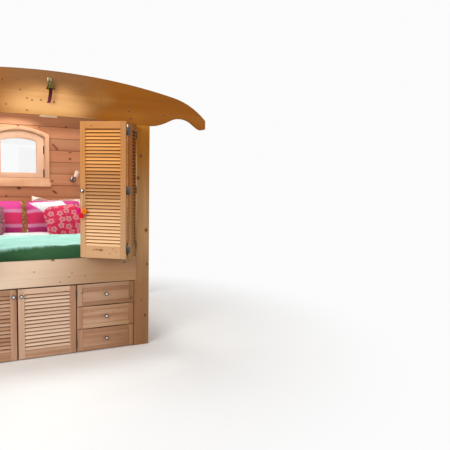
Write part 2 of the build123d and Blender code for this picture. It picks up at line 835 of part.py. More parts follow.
nodes["door_left"] = [cupboard_door(left_door_x)]
nodes["door_right"] = [cupboard_door(right_door_x)]
nodes["door_left_fittings"] = [door_knob(left_door_x + door_width - door_knob_inset)]
nodes["door_right_fittings"] = [door_knob(right_door_x + door_knob_inset)]
carcase_leaves = []
for z in hinge_heights:
    left = Pos(left_pin_x, pin_y, z)
    right = Pos(right_pin_x, pin_y, z)
    nodes["door_left_fittings"].append(left * hinge_leaf(True))
    nodes["door_right_fittings"].append(right * mirror(hinge_leaf(True), Plane.YZ))
    carcase_leaves.append(left * mirror(hinge_leaf(False), Plane.YZ))
    divider_reach = pin_stand_off + divider_setback
    carcase_leaves.append(right * hinge_leaf(False, hinge_plate, divider_reach))
nodes["door_hinges"] = carcase_leaves
for i in range(drawer_count):
    nodes[f"drawer_front_{i + 1}"] = [drawer_front(i)]
    nodes[f"drawer_box_{i + 1}"] = [drawer_box(i)]
    nodes[f"drawer_knob_{i + 1}"] = [drawer_knob(i)]
nodes["drawer_runners"] = drawer_runners()

for name, solids in nodes.items():
    shape = solids[0] if len(solids) == 1 else Compound(children=solids)
    export_step(shape, f"parts/{name}.step")
    print(name, len(solids))
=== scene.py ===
import math

import bmesh
import bpy
import numpy as np
from mathutils import Matrix, Vector


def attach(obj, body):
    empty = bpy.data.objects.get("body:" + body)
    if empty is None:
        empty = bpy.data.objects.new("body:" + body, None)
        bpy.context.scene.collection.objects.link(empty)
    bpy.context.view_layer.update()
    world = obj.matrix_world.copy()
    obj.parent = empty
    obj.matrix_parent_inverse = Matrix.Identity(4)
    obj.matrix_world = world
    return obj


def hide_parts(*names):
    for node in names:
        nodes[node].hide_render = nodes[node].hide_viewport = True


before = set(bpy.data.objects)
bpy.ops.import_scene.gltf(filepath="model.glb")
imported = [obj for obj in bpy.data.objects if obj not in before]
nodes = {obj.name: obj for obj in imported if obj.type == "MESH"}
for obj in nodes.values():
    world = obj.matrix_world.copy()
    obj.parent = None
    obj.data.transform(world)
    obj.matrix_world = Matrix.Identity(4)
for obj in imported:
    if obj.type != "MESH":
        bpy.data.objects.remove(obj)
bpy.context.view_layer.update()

scene = bpy.context.scene

bulkheadY = -0.803  # room face of the bulkhead
wallY = 1.1095  # inner face of the end wall
bedTop = 0.8603  # where the bedding lies
towardsRoom = Matrix.Rotation(math.radians(90), 4, "X")  # turns a form's own Z to -Y


# Quads between the points of a grid, row after row; a closed grid also joins its last column to its first.
def gridFaces(rows, columns, closed=False):
    last = columns if closed else columns - 1
    row, column = np.meshgrid(np.arange(rows - 1), np.arange(last), indexing="ij")
    after = (column + 1) % columns
    here, above = row * columns, (row + 1) * columns
    return np.stack([here + column, here + after, above + after, above + column], -1).reshape(-1, 4)


# The same faces for each of a number of like forms, whose points follow one another.
def repeated(faces, count, size):
    first = (np.arange(count) * size)[:, None, None]
    return (faces[None] + first).reshape(-1, faces.shape[-1])


# A new object in the scene.
def addObject(name, data):
    made = bpy.data.objects.new(name, data)
    scene.collection.objects.link(made)
    return made


# One mesh from parts, each a dictionary of points, faces and the values its points carry.
def makeMesh(name, parts, smoothAngle=35.0, merge=0.0, fixNormals=True):
    points = np.concatenate([part["points"].reshape(-1, 3) for part in parts])
    faces, start = [], 0
    for part in parts:
        for group in part["faces"]:
            faces += (group + start).tolist()
        start += len(part["points"].reshape(-1, 3))
    mesh = bpy.data.meshes.new(name)
    mesh.from_pydata(points.tolist(), [], faces)
    for key, kind, field in (("grain", "FLOAT_VECTOR", "vector"), ("cloth", "FLOAT_VECTOR", "vector"),
                             ("tone", "FLOAT", "value")):
        if key in parts[0]:
            values = np.concatenate([part[key].ravel() for part in parts]).astype(np.float32)
            mesh.attributes.new(key, kind, "POINT").data.foreach_set(field, values)
    if merge or fixNormals:
        bm = bmesh.new()
        bm.from_mesh(mesh)
        if merge:
            bmesh.ops.remove_doubles(bm, verts=bm.verts, dist=merge)
        if fixNormals:
            bmesh.ops.recalc_face_normals(bm, faces=bm.faces)
        bm.to_mesh(mesh)
        bm.free()
    mesh.shade_smooth()
    mesh.set_sharp_from_angle(angle=math.radians(smoothAngle))
    return addObject(name, mesh)


# The places of a mesh's points as one array, and the same array put back.
def coordinates(mesh):
    places = np.zeros(len(mesh.vertices) * 3)
    mesh.vertices.foreach_get("co", places)
    return places.reshape(-1, 3)


def setCoordinates(mesh, places):
    mesh.vertices.foreach_set("co", places.ravel())
    mesh.update()


# A piece gets its material, rides on its body and stands for the CAD nodes named; its slot name is not used.
def finishPiece(piece, material, slotName, *replaced, body="root"):
    piece.data.materials.clear()
    piece.data.materials.append(material)
    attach(piece, body)
    if replaced:
        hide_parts(*replaced)
    return piece


# A CAD node that stays as it is gets its material.
def finishNode(node, material):
    nodes[node].data.materials.clear()
    nodes[node].data.materials.append(material)


# Corner signs and faces of a box whose edges are cut by a small bevel: three points at each corner.
def boxTemplate():
    signs = np.array([[x, y, z] for x in (-1, 1) for y in (-1, 1) for z in (-1, 1)], float)
    index = lambda s, a: (int(s[0] > 0) * 4 + int(s[1] > 0) * 2 + int(s[2] > 0)) * 3 + a
    quads, tris = [], []
    for a in range(3):
        b, c = (a + 1) % 3, (a + 2) % 3
        for s in (-1, 1):
            ring = []
            for u, v in ((-1, -1), (1, -1), (1, 1), (-1, 1)):
                corner = np.zeros(3)
                corner[a], corner[b], corner[c] = s, u, v
                ring.append(index(corner, a))
            quads.append(ring if s > 0 else ring[::-1])
        for u in (-1, 1):
            for v in (-1, 1):
                low, high = np.zeros(3), np.zeros(3)
                low[a], high[a] = -1, 1
                low[b] = high[b] = u
                low[c] = high[c] = v
                ring = [index(low, b), index(high, b), index(high, c), index(low, c)]
                quads.append(ring[::-1] if u * v > 0 else ring)
    for s in signs:
        ring = [index(s, 0), index(s, 1), index(s, 2)]
        tris.append(ring if s.prod() > 0 else ring[::-1])
    return signs, np.array(quads), np.array(tris)


boxSigns, boxQuads, boxTris = boxTemplate()
boxInset = 1 - np.eye(3)
boxPoints = 24
grainOrders = {"x": [0, 2, 1], "y": [1, 0, 2], "z": [2, 0, 1]}


# Boards: each box is its centre plus its half size times the corner signs, drawn in by the bevel off its
# own face. The grain value of a point is its place along, across and through the board, plus a start of the
# board's own.
def boards(boxes, axes, bevel, seed):
    random = np.random.default_rng(seed)
    boxes = np.asarray(boxes, float)
    count = len(boxes)
    low, high = boxes[:, 0::2], boxes[:, 1::2]
    drawn = ((high - low) / 2)[:, None, None, :] - bevel * boxInset[None, None]
    local = (boxSigns[None, :, None, :] * drawn).reshape(count, boxPoints, 3)
    grain = np.stack([local[i][:, grainOrders[axes[i]]] for i in range(count)])
    grain = grain + random.uniform(0, 9, (count, 1, 3))
    return {
        "points": (((low + high) / 2)[:, None, :] + local).reshape(-1, 3),
        "faces": [repeated(boxQuads, count, boxPoints), repeated(boxTris, count, boxPoints)],
        "grain": grain.reshape(-1, 3),
        "tone": np.repeat(random.uniform(-1, 1, count), boxPoints),
    }


# A part carried to its place: its points are turned by the matrix and shifted.
def moved(part, matrix):
    m = np.array(matrix)
    return {**part, "points": part["points"].reshape(-1, 3) @ m[:3, :3].T + m[:3, 3]}


# A turned form: each profile point (radius, height) is carried round the Z axis, and the form to its place.
def turnedPart(profile, steps, place):
    profile = np.asarray(profile, float)
    angle = np.linspace(0, 2 * np.pi, steps, endpoint=False)
    radius, height = profile[:, 0, None], profile[:, 1, None]
    points = np.stack([radius * np.cos(angle), radius * np.sin(angle), np.repeat(height, steps, 1)], -1)
    return moved({"points": points, "faces": [gridFaces(len(profile), steps, closed=True)]}, place)


# A CAD node's own solid, with its loose triangles merged and its flat faces made whole.
def closedCopy(name, node):
    mesh = nodes[node].data.copy()
    bm = bmesh.new()
    bm.from_mesh(mesh)
    bmesh.ops.remove_doubles(bm, verts=bm.verts, dist=1e-5)
    bmesh.ops.dissolve_limit(bm, angle_limit=math.radians(0.6), verts=bm.verts, edges=bm.edges)
    bmesh.ops.recalc_face_normals(bm, faces=bm.faces)
    bm.to_mesh(mesh)
    bm.free()
    mesh.materials.clear()
    return addObject(name, mesh)


# The same solid as a finished piece, its edges rounded by the width.
def bevelledPiece(name, node, material, slotName, width, segments=2):
    piece = closedCopy(name, node)
    piece.data.shade_smooth()
    bevel = piece.modifiers.new("edges", "BEVEL")
    bevel.width = width
    bevel.segments = segments
    bevel.limit_method = "ANGLE"
    bevel.angle_limit = math.radians(30)
    bevel.harden_normals = True
    return finishPiece(piece, material, slotName, node)


# The nodes of a material or of the sky. put joins a socket or sets its value, node makes a node with its
# inputs and gives back its outputs, and each of the rest gives back the socket of one result.
class NodeKit:
    def __init__(self, owner):
        owner.use_nodes = True
        self.owner = owner
        self.tree = owner.node_tree
        self.tree.nodes.clear()

    def put(self, socket, value):
        if isinstance(value, bpy.types.NodeSocket):
            self.tree.links.new(value, socket)
        elif isinstance(value, (tuple, list)) and len(value) == 3 and socket.type == "RGBA":
            socket.default_value = (*value, 1)
        else:
            socket.default_value = value

    def node(self, kind, inputs=None, **settings):
        made = self.tree.nodes.new("ShaderNode" + kind)
        for key, value in settings.items():
            setattr(made, key, value)
        for key, value in (inputs or {}).items():
            self.put(made.inputs[key], value)
        return made.outputs

    def math(self, operation, a, b=0.0, c=0.0):
        return self.node("Math", {0: a, 1: b, 2: c}, operation=operation)[0]

    def plus(self, a, b):
        return self.math("ADD", a, b)

    def minus(self, a, b):
        return self.math("SUBTRACT", a, b)

    def times(self, a, b):
        return self.math("MULTIPLY", a, b)

    def over(self, a, b):
        return self.math("DIVIDE", a, b)

    def line(self, value, slope, start):  # value times slope plus start
        return self.math("MULTIPLY_ADD", value, slope, start)

    def vector(self, operation, a, b=(0, 0, 0)):
        out = 1 if operation in ("LENGTH", "DISTANCE") else 0
        return self.node("VectorMath", {0: a, 1: b}, operation=operation)[out]

    def split(self, vector):
        return self.node("SeparateXYZ", {0: vector})

    def attribute(self, name, out="Vector"):
        return self.node("Attribute", attribute_name=name)[out]

    def objectPlace(self):
        return self.node("TexCoord")["Object"]

    def mix(self, factor, a, b, blend="MIX"):
        return self.node("Mix", {0: factor, 6: a, 7: b}, data_type="RGBA", blend_type=blend)[2]

    def steps(self, value, low, high, outLow=0.0, outHigh=1.0, smooth=True):
        kind = "SMOOTHSTEP" if smooth else "LINEAR"
        inputs = dict(enumerate((value, low, high, outLow, outHigh)))
        return self.node("MapRange", inputs, interpolation_type=kind)[0]

    def noise(self, vector, scale, detail=3.0):
        return self.node("TexNoise", {"Vector": vector, "Scale": scale, "Detail": detail})[0]

    def streaks(self, place, stretch, detail=2.0, scale=1.0):  # noise drawn out by another scale on each axis
        return self.noise(self.vector("MULTIPLY", place, stretch), scale, detail)

    def cells(self, place, scale, loose=1.0):
        inputs = {"Vector": place, "Scale": scale, "Randomness": loose}
        return self.node("TexVoronoi", inputs, voronoi_dimensions="2D")

    def ramp(self, value, stops):
        node = self.tree.nodes.new("ShaderNodeValToRGB")
        elements = node.color_ramp.elements
        while len(elements) < len(stops):
            elements.new(0.5)
        for element, (place, colour) in zip(elements, sorted(stops)):
            element.position = place
            element.color = (*colour, 1)
        self.put(node.inputs[0], value)
        return node.outputs[0]

    def bump(self, height, strength, distance):
        return self.node("Bump", {"Height": height, "Strength": strength, "Distance": distance})[0]


# The nodes of one material: surface is its shader, and finish joins it to the output and gives back the
# material.
class Finish(NodeKit):
    def __init__(self, name):
        super().__init__(bpy.data.materials.new(name))

    def surface(self, colour, roughness, normal=None, **sockets):
        inputs = {"Base Color": colour, "Roughness": roughness}
        if normal is not None:
            inputs["Normal"] = normal
        inputs.update({key.replace("_", " "): value for key, value in sockets.items()})
        return self.node("BsdfPrincipled", inputs)[0]

    def finish(self, colour, roughness, normal=None, **sockets):
        self.node("OutputMaterial", {0: self.surface(colour, roughness, normal, **sockets)})
        return self.owner


def dimmed(colour, share):  # a colour times one share
    return tuple(value * share for value in colour)


# What every pine shares, and the values of a look that names none of its own. A streak is its scale across
# the grain and where its light and dark begin.
pineGrain = {"ringWidth": 0.0062, "knotCells": 5.0, "knotSizes": (0.018, 0.062), "knotDepth": 0.9,
             "relief": 0.35, "knotShare": 0.35, "ringDepth": 0.4, "toneSpread": 0.07, "rough": 0.42,
             "coat": 0.0, "gloss": 0.14, "streak": (12.0, 0.32, 0.70)}


# Distance from the nearest knot, counted in knot radii: chance knots lie in a share of the cells of a loose
# grid, named knots at their points on the face, and noise makes every rim uneven.
def knotDistance(k, look, world, place, axis, knots):
    cell = k.cells(k.vector("MULTIPLY", place, (0.62, 1.0, 0.0)), look["knotCells"])
    chance = k.split(cell["Color"])
    uneven = k.line(k.streaks(place, (60, 90, 60)), 0.5, -0.25)
    size = k.steps(chance[1], 0, 1, *look["knotSizes"], smooth=False)
    missing = k.minus(1.0, k.math("GREATER_THAN", chance[0], 1 - look["knotShare"]))
    apart = k.plus(k.plus(k.over(cell["Distance"], size), uneven), k.times(missing, 50.0))
    weight = np.array([1.0, 0.0, 0.75] if axis == "z" else [0.75, 0.0, 1.0])  # longer along the grain
    face = k.vector("MULTIPLY", world, tuple(weight))
    for x, z, radius in knots:
        near = k.vector("DISTANCE", face, tuple(weight * (x, 0, z)))
        apart = k.math("MINIMUM", apart, k.plus(k.over(near, radius * 0.85), uneven))
    return apart


# Pine: year rings are thin dark lines across the board, pushed aside round each knot, over slow streaks of
# tone. The grain is the boards' own value, or the object's place along an axis. A stave pitch splits the
# surface into boards, each with its own start in the grain and its own tone. Painted light and shade, and
# the trim's lighter sill band, multiply by a tint with the distance from a centre, where each axis is first
# divided by its own spread. A tone over 1.5 turns to the pale colour, painted light on the slats, and one
# under -2 to the deep colour, painted shade in their recesses.
def pine(name, look, axis="", staves=None, knots=(), paintedLightAndTints=()):
    k = Finish(name)
    world = k.objectPlace()
    if axis:
        parts = k.split(world)
        place = k.node("CombineXYZ", {i: parts[order] for i, order in enumerate(grainOrders[axis])})[0]
        tone = 0.0
    else:
        place, tone = k.attribute("grain"), k.attribute("tone", "Fac")
    if staves:
        count = k.over(k.minus(k.split(place)[1], staves["start"]), staves["pitch"])
        number = k.math("FLOOR", count)
        chance = k.node("TexWhiteNoise", {"W": k.plus(number, staves["seed"])}, noise_dimensions="1D")
        tone = k.steps(chance["Value"], 0, 1, -1, 1, smooth=False)
        place = k.vector("ADD", place, k.vector("MULTIPLY", chance["Color"], (7.0, 0.9, 0.9)))
        fromMiddle = k.math("ABSOLUTE", k.minus(k.minus(count, number), 0.5))
        width = staves["seam"] / staves["pitch"]
        seam = k.steps(fromMiddle, 0.5 - width, 0.5 - width * 0.3)
    apart = knotDistance(k, look, world, place, axis, knots)
    core, halo, push = (k.steps(apart, *reach, 1.0, 0.0) for reach in ((0.78, 1.12), (0.9, 2.7), (0.4, 5.5)))
    parts = k.split(place)
    across = k.line(parts[2], 0.55, parts[1])
    across = k.plus(across, k.times(k.streaks(place, (1.1, 4.0, 4.0)), 0.055))
    across = k.plus(across, k.times(push, 0.016))
    rings = k.math("FRACT", k.over(across, look["ringWidth"]))
    late = k.times(k.steps(rings, 0.35, 0.9), k.steps(rings, 0.93, 1.0, 1.0, 0.0))  # a ring's dark late wood
    scale, lightFrom, darkFrom = look["streak"]
    slow = k.streaks(place, (0.9, scale, scale), 3.0)
    broad = k.streaks(place, (0.7, 2.2, 2.2))
    fibre = k.streaks(place, (9.0, 420.0, 420.0))
    colour = k.mix(k.steps(slow, lightFrom, darkFrom), look["light"], look["mid"])
    colour = k.mix(k.times(k.steps(broad, 0.4, 0.75), 0.5), colour, look["warm"])
    colour = k.mix(k.times(late, look["ringDepth"]), colour, look["ring"])
    colour = k.mix(k.times(k.steps(fibre, 0.45, 0.75), 0.16), colour, look["ring"])
    # The pale colour, for tones over 1.5, is painted light on the slats.
    if "pale" in look:
        colour = k.mix(k.steps(tone, 1.5, 4.5), colour, look["pale"])
    clean = colour
    # Painted light and shade, and the trim's sill band: tints by the distance from a centre.
    for centre, spread, start, end, tint in paintedLightAndTints:
        far = k.vector("LENGTH", k.vector("DIVIDE", k.vector("SUBTRACT", world, centre), spread))
        colour = k.mix(k.steps(far, start, end), colour, k.mix(1.0, clean, tint, "MULTIPLY"))
    shade = k.line(k.math("MAXIMUM", k.math("MINIMUM", tone, 1.5), -1.5), look["toneSpread"], 1.0)
    colour = k.mix(1.0, colour, k.node("CombineXYZ", {0: shade, 1: shade, 2: shade})[0], "MULTIPLY")
    # The deep colour, for tones under -2, is painted shade in the slats' recesses.
    if "deep" in look:
        colour = k.mix(k.steps(tone, -2.0, -7.0), colour, look["deep"])
    colour = k.mix(k.times(halo, 0.55), colour, look["halo"])
    colour = k.mix(k.times(core, look["knotDepth"]), colour, look["knot"])
    height = k.plus(k.plus(k.times(late, -0.35), k.times(fibre, 0.4)), k.times(core, -0.6))
    if staves:
        colour = k.mix(k.times(seam, staves["dark"]), colour, look["knot"])
        height = k.plus(height, k.times(seam, -2.0))
    return k.finish(colour, k.line(slow, 0.16, look["rough"]), k.bump(height, look["relief"], 0.0006),
                    Coat_Weight=look["coat"], Coat_Roughness=0.25, Specular_IOR_Level=look["gloss"])


# One look of pine: its colours, with what differs from the shared values.
def pineLook(light, mid, warm, ring, halo, knot, **rest):
    colours = {"light": light, "mid": mid, "warm": warm, "ring": ring, "halo": halo, "knot": knot}
    return {**pineGrain, **colours, **rest}


# In these looks pale is the painted light of lit slats, and deep the painted shade in the slats' recesses.
pineLooks = {
    "header": pineLook((0.70, 0.38, 0.155), (0.62, 0.30, 0.10), (0.66, 0.31, 0.09), (0.46, 0.19, 0.05),
                       (0.34, 0.14, 0.04), (0.09, 0.035, 0.008),
                       rough=0.45, knotShare=0.05, ringDepth=0.3, toneSpread=0.04),
    "post": pineLook((0.60, 0.345, 0.16), (0.52, 0.285, 0.12), (0.55, 0.285, 0.11), (0.38, 0.19, 0.07),
                     (0.20, 0.085, 0.028), (0.06, 0.025, 0.01),
                     rough=0.46, knotShare=0.05, ringDepth=0.3, streak=(16.0, 0.36, 0.64)),
    "rail": pineLook((0.77, 0.61, 0.48), (0.72, 0.55, 0.41), (0.71, 0.51, 0.34), (0.52, 0.33, 0.18),
                     (0.38, 0.20, 0.09), (0.06, 0.03, 0.012),
                     rough=0.46, knotShare=0.05, ringDepth=0.3, toneSpread=0.03),
    "wall": pineLook((0.57, 0.25, 0.13), (0.47, 0.178, 0.086), (0.50, 0.19, 0.082), (0.33, 0.11, 0.045),
                     (0.26, 0.08, 0.028), (0.05, 0.02, 0.01), rough=0.46, toneSpread=0.13, knotShare=0.14),
    "leaf": pineLook((0.54, 0.325, 0.18), (0.48, 0.275, 0.14), (0.50, 0.28, 0.13), (0.36, 0.19, 0.085),
                     (0.36, 0.15, 0.035), (0.16, 0.06, 0.014), toneSpread=0.11, knotShare=0.04, coat=0.04,
                     ringDepth=0.35, pale=(0.80, 0.52, 0.285), deep=(0.13, 0.040, 0.003)),
    # The jamb look is the leaf look darkened: painted shade on the jamb leaves, which stand in shade.
    "jamb": pineLook((0.29, 0.150, 0.056), (0.25, 0.120, 0.040), (0.26, 0.122, 0.038), (0.18, 0.08, 0.024),
                     (0.15, 0.06, 0.015), (0.08, 0.03, 0.01),
                     rough=0.46, knotShare=0.04, ringDepth=0.3, deep=(0.14, 0.060, 0.015)),
    "front": pineLook((0.53, 0.335, 0.222), (0.355, 0.192, 0.112), (0.41, 0.205, 0.12), (0.26, 0.12, 0.065),
                      (0.24, 0.11, 0.05), (0.06, 0.028, 0.014), rough=0.46, toneSpread=0.09, knotShare=0.0,
                      ringDepth=0.5, pale=(0.64, 0.465, 0.345), deep=(0.27, 0.155, 0.090),
                      streak=(22.0, 0.38, 0.62)),
    "window": pineLook((0.80, 0.50, 0.34), (0.75, 0.44, 0.285), (0.76, 0.45, 0.28), (0.58, 0.30, 0.16),
                       (0.40, 0.18, 0.08), (0.2, 0.09, 0.04), rough=0.44, knotShare=0.05, ringDepth=0.3),
    "trim": pineLook((0.69, 0.38, 0.235), (0.63, 0.33, 0.19), (0.65, 0.34, 0.18), (0.46, 0.20, 0.09),
                     (0.36, 0.15, 0.06), (0.15, 0.06, 0.03), rough=0.44, knotShare=0.08, ringDepth=0.35),
    "carcase": pineLook((0.62, 0.43, 0.26), (0.55, 0.36, 0.20), (0.58, 0.36, 0.19), (0.42, 0.24, 0.11),
                        (0.34, 0.17, 0.07), (0.12, 0.06, 0.025), rough=0.55, knotShare=0.25),
}

# Named knots: each one's place across and up, and its radius.
headerKnots = [
    (-0.327, 2.156, 0.0064), (-0.223, 2.167, 0.0048), (-0.203, 2.092, 0.0048), (-0.154, 2.033, 0.0048),
    (-0.155, 1.943, 0.0048), (-0.118, 2.021, 0.0048), (-0.053, 2.027, 0.0048), (0.043, 2.020, 0.0048),
    (0.259, 2.176, 0.0056), (0.243, 2.124, 0.0048), (0.427, 2.177, 0.0056), (0.410, 2.100, 0.0048),
    (0.414, 2.077, 0.0048), (0.644, 1.995, 0.0080), (0.662, 1.939, 0.0072), (0.775, 1.926, 0.0048),
    (0.950, 1.989, 0.0080), (1.028, 2.000, 0.0056), (1.267, 2.009, 0.0064), (0.636, 2.047, 0.0040),
    (-0.302, 1.975, 0.0048), (-0.62, 2.11, 0.0064), (-0.81, 2.03, 0.0048), (-0.97, 1.99, 0.0072),
    (-1.15, 2.02, 0.0056)]
postKnots = [
    (0.750, 1.632, 0.008), (0.725, 1.446, 0.010), (0.799, 1.001, 0.010), (0.809, 0.705, 0.007),
    (0.794, 0.257, 0.009), (0.757, 0.393, 0.005), (0.738, 0.526, 0.004), (-0.75, 1.51, 0.009),
    (-0.80, 0.92, 0.008), (-0.74, 0.33, 0.007)]
railKnots = [
    (0.025, 0.783, 0.009), (0.609, 0.734, 0.008), (-0.119, 0.696, 0.004), (0.149, 0.637, 0.004),
    (0.172, 0.669, 0.004), (0.078, 0.602, 0.004), (0.277, 0.637, 0.004), (-0.45, 0.70, 0.009)]
wallKnots = [
    (0.508, 2.018, 0.012), (-0.005, 1.996, 0.008), (0.362, 1.812, 0.007), (0.374, 1.800, 0.008),
    (0.386, 1.787, 0.008), (0.398, 1.774, 0.009), (0.410, 1.762, 0.008), (0.551, 1.731, 0.008),
    (0.550, 1.657, 0.010), (0.364, 1.285, 0.009), (0.378, 1.275, 0.010), (0.392, 1.264, 0.008),
    (-0.004, 1.318, 0.013), (0.354, 1.400, 0.008), (0.222, 1.995, 0.007), (-0.41, 1.61, 0.011),
    (-0.56, 1.29, 0.012), (0.95, 1.1, 0.012), (1.10, 0.62, 0.012), (-1.02, 0.88, 0.013),
    (0.98, 1.74, 0.011)]
frontKnots = [
    (0.672, 0.424, 0.008), (0.662, 0.414, 0.007), (0.252, 0.497, 0.005), (0.341, 0.334, 0.003),
    (0.519, 0.312, 0.003), (0.554, 0.117, 0.004), (0.124, 0.525, 0.003), (-0.50, 0.035, 0.006)]
leafKnots = [
    (0.362, 0.870, 0.008), (0.345, 0.871, 0.005), (0.330, 0.872, 0.005), (0.312, 0.868, 0.004),
    (0.441, 0.882, 0.003), (0.460, 0.859, 0.003), (0.418, 0.845, 0.003), (0.30, 1.845, 0.004)]


# A tint along one axis alone, for painted light and shade and for the trim's sill band: no tint at the
# start distance from a place on that axis, and all of it at the end distance.
def fadeAcross(x, start, end, tint):
    return (x, 0, 0), (1, 99, 99), start, end, tint


def fadeUp(z, start, end, tint):
    return (0, 0, z), (99, 99, 1), start, end, tint


# An oval of painted light and shade on a face: its middle, its half width and height, the start and end of
# its fade, and its tint.
def patch(x, z, wide, high, start, end, tint, y=bulkheadY, deep=0.03):
    return (x, y, z), (wide, deep, high), start, end, tint


# Painted shade in a gap between fronts, as a thin dark patch.
def gapShade(x, z, wide, high, tint):
    return patch(x, z, wide, high, 1.0, 0.6, tint, deep=0.02)


# Tints of the painted shade in the gaps between and round the fronts.
doorGapShade, outerGapShade = (0.10, 0.07, 0.05), (0.12, 0.08, 0.06)
# Painted light and shade on the header: shade beyond an oval round the middle, a lit pool within it, shade
# towards both sides, a lit patch near the top and two shaded patches to the right.
headerPaintedLight = [patch(-0.02, 1.95, 0.5, 0.25, 0.40, 1.05, (0.42, 0.36, 0.34)),
             patch(-0.02, 1.98, 0.40, 0.125, 1.0, 0.2, (1.20, 1.32, 1.44)),
             ((0, 0, 1.9), (1, 9, 9), 0.16, 0.60, (0.47, 0.30, 0.057)),
             patch(0.02, 2.085, 0.22, 0.080, 1.0, 0.1, (1.20, 1.22, 1.28)),
             patch(0.41, 2.08, 0.17, 0.09, 1.0, 0.2, (0.54, 0.45, 0.25)),
             patch(0.58, 1.94, 0.34, 0.085, 1.0, 0.2, (0.58, 0.39, 0.076))]
# Painted shade on the rail: darker away from its left end, and a dark line along its lower edge at the gap
# above the fronts.
railPaintedShade = [fadeAcross(-0.7, 0.35, 1.22, (0.55, 0.41, 0.29)),
           patch(0, 0.5725, 0.72, 0.005, 1.0, 0.6, (0.22, 0.17, 0.14))]
# Painted light and shade on the posts: darker away from the middle height, warmer and darker towards the top,
# and a painted highlight down the inner edge of the right post.
postPaintedLight = [fadeUp(1.25, 0.25, 0.75, (0.51, 0.45, 0.44)), fadeUp(0, 1.18, 1.74, (0.88, 0.60, 0.13)),
           patch(0.706, 1.34, 0.016, 0.44, 1.0, 0.6, (1.35, 1.5, 1.6), deep=0.05)]
# Painted light and shade on the end wall: a painted shadow under the header along the top, and a painted pool
# of light above the window.
wallPaintedLight = [fadeUp(0, 1.86, 2.06, (0.52, 0.46, 0.40)),
           patch(-0.06, 2.01, 0.36, 0.095, 1.0, 0.25, (1.32, 1.52, 1.56), y=wallY)]
# Painted warm light: the leaves turn warmer and darker towards the top.
leafPaintedLight = [fadeUp(0, 0.90, 1.65, (1.0, 0.74, 0.38))]
jambPaintedLight = [fadeUp(0, 0.95, 1.55, (0.95, 0.62, 0.20))]
# Painted shade on the fronts: darker towards their right end, and dark in the gaps between and round the
# doors and drawers.
frontPaintedShade = [fadeAcross(-0.7, 1.04, 1.40, (0.73, 0.67, 0.51)),
            gapShade(-0.2437, 0.29, 0.0060, 0.30, doorGapShade),
            gapShade(0.45, 0.1938, 0.26, 0.0055, doorGapShade),
            gapShade(0.45, 0.3822, 0.26, 0.0055, doorGapShade),
            gapShade(0, 0.5700, 0.72, 0.0060, outerGapShade),
            gapShade(0.6970, 0.29, 0.0060, 0.30, outerGapShade)]
# The trim is lighter in a band round the sill's height.
trimSillBand = [fadeUp(1.371, 0.065, 0.04, (1.27, 1.32, 1.32))]

# Staves: where the first board starts, the pitch, the seam's half width and darkness, and the seed of the
# tones.
headerStaves = {"start": 1.931, "pitch": 0.159, "seam": 0.0012, "dark": 0.3, "seed": 3}
railStaves = {"start": 0.640, "pitch": 0.150, "seam": 0.0012, "dark": 0.35, "seed": 8}
wallStaves = {"start": 0.027, "pitch": 0.13225, "seam": 0.0038, "dark": 0.9, "seed": 5}

headerPine = pine("headerPine", pineLooks["header"], "x", headerStaves, headerKnots, headerPaintedLight)
railPine = pine("railPine", pineLooks["rail"], "x", railStaves, railKnots, railPaintedShade)
postPine = pine("postPine", pineLooks["post"], "z", knots=postKnots, paintedLightAndTints=postPaintedLight)
wallPine = pine("wallPine", pineLooks["wall"], "x", wallStaves, wallKnots, wallPaintedLight)
leafPine = pine("leafPine", pineLooks["leaf"], knots=leafKnots, paintedLightAndTints=leafPaintedLight)
# The jamb leaves' pine is a darker copy of the leaf pine, painted shade.
shadedJambPine = pine("shadedJambPine", pineLooks["jamb"], paintedLightAndTints=jambPaintedLight)
frontPine = pine("frontPine", pineLooks["front"], knots=frontKnots, paintedLightAndTints=frontPaintedShade)
windowPine = pine("windowPine", pineLooks["window"], "z")
trimPine = pine("trimPine", pineLooks["trim"], "z", paintedLightAndTints=trimSillBand)
carcaseX = pine("carcasePineX", pineLooks["carcase"], "x")
carcaseY = pine("carcasePineY", pineLooks["carcase"], "y")
print("pine materials ready")


# Metal: slow cloudy smudges in the roughness and fine scratches in the height. On a knob the tone its
# points carry turns all but the middle of the dome dark, a painted reflection round its bright middle.
def metal(name, colour, rough, depth=0.05, rim=None):
    k = Finish(name)
    place = k.objectPlace()
    cloud = k.noise(place, 45.0, 4.0)
    scratch = k.streaks(place, (1.0, 1.0, 9.0), 2.0, 240.0)
    tint = k.mix(k.steps(cloud, 0.35, 0.8), colour, dimmed(colour, 0.78))
    # Painted reflection: the knob's outer dome and stem take the dark rim colour.
    if rim:
        tint = k.mix(k.steps(k.attribute("tone", "Fac"), 0.35, 0.72), tint, rim)
    roughness = k.line(cloud, rough * 0.9, rough * 0.55)
    return k.finish(tint, roughness, k.bump(scratch, depth, 0.0003), Metallic=1.0)


# The lamps' chrome is dark brown, a painted reflection of the dim room; the knobs' chrome is bright, with a
# dark rim colour as a painted reflection.
chrome = metal("chrome", (0.26, 0.20, 0.185), 0.16)
knobChrome = metal("knobChrome", (0.93, 0.93, 0.93), 0.10, rim=(0.045, 0.048, 0.055))
hingeSteel = metal("hingeSteel", (0.092, 0.094, 0.096), 0.34)
darkSteel = metal("windowSteel", (0.035, 0.06, 0.10), 0.40)
bellBrass = metal("bellBrass", (0.16, 0.115, 0.036), 0.42, depth=0.2)
bracketBrass = metal("bracketBrass", (0.34, 0.27, 0.15), 0.30, depth=0.2)


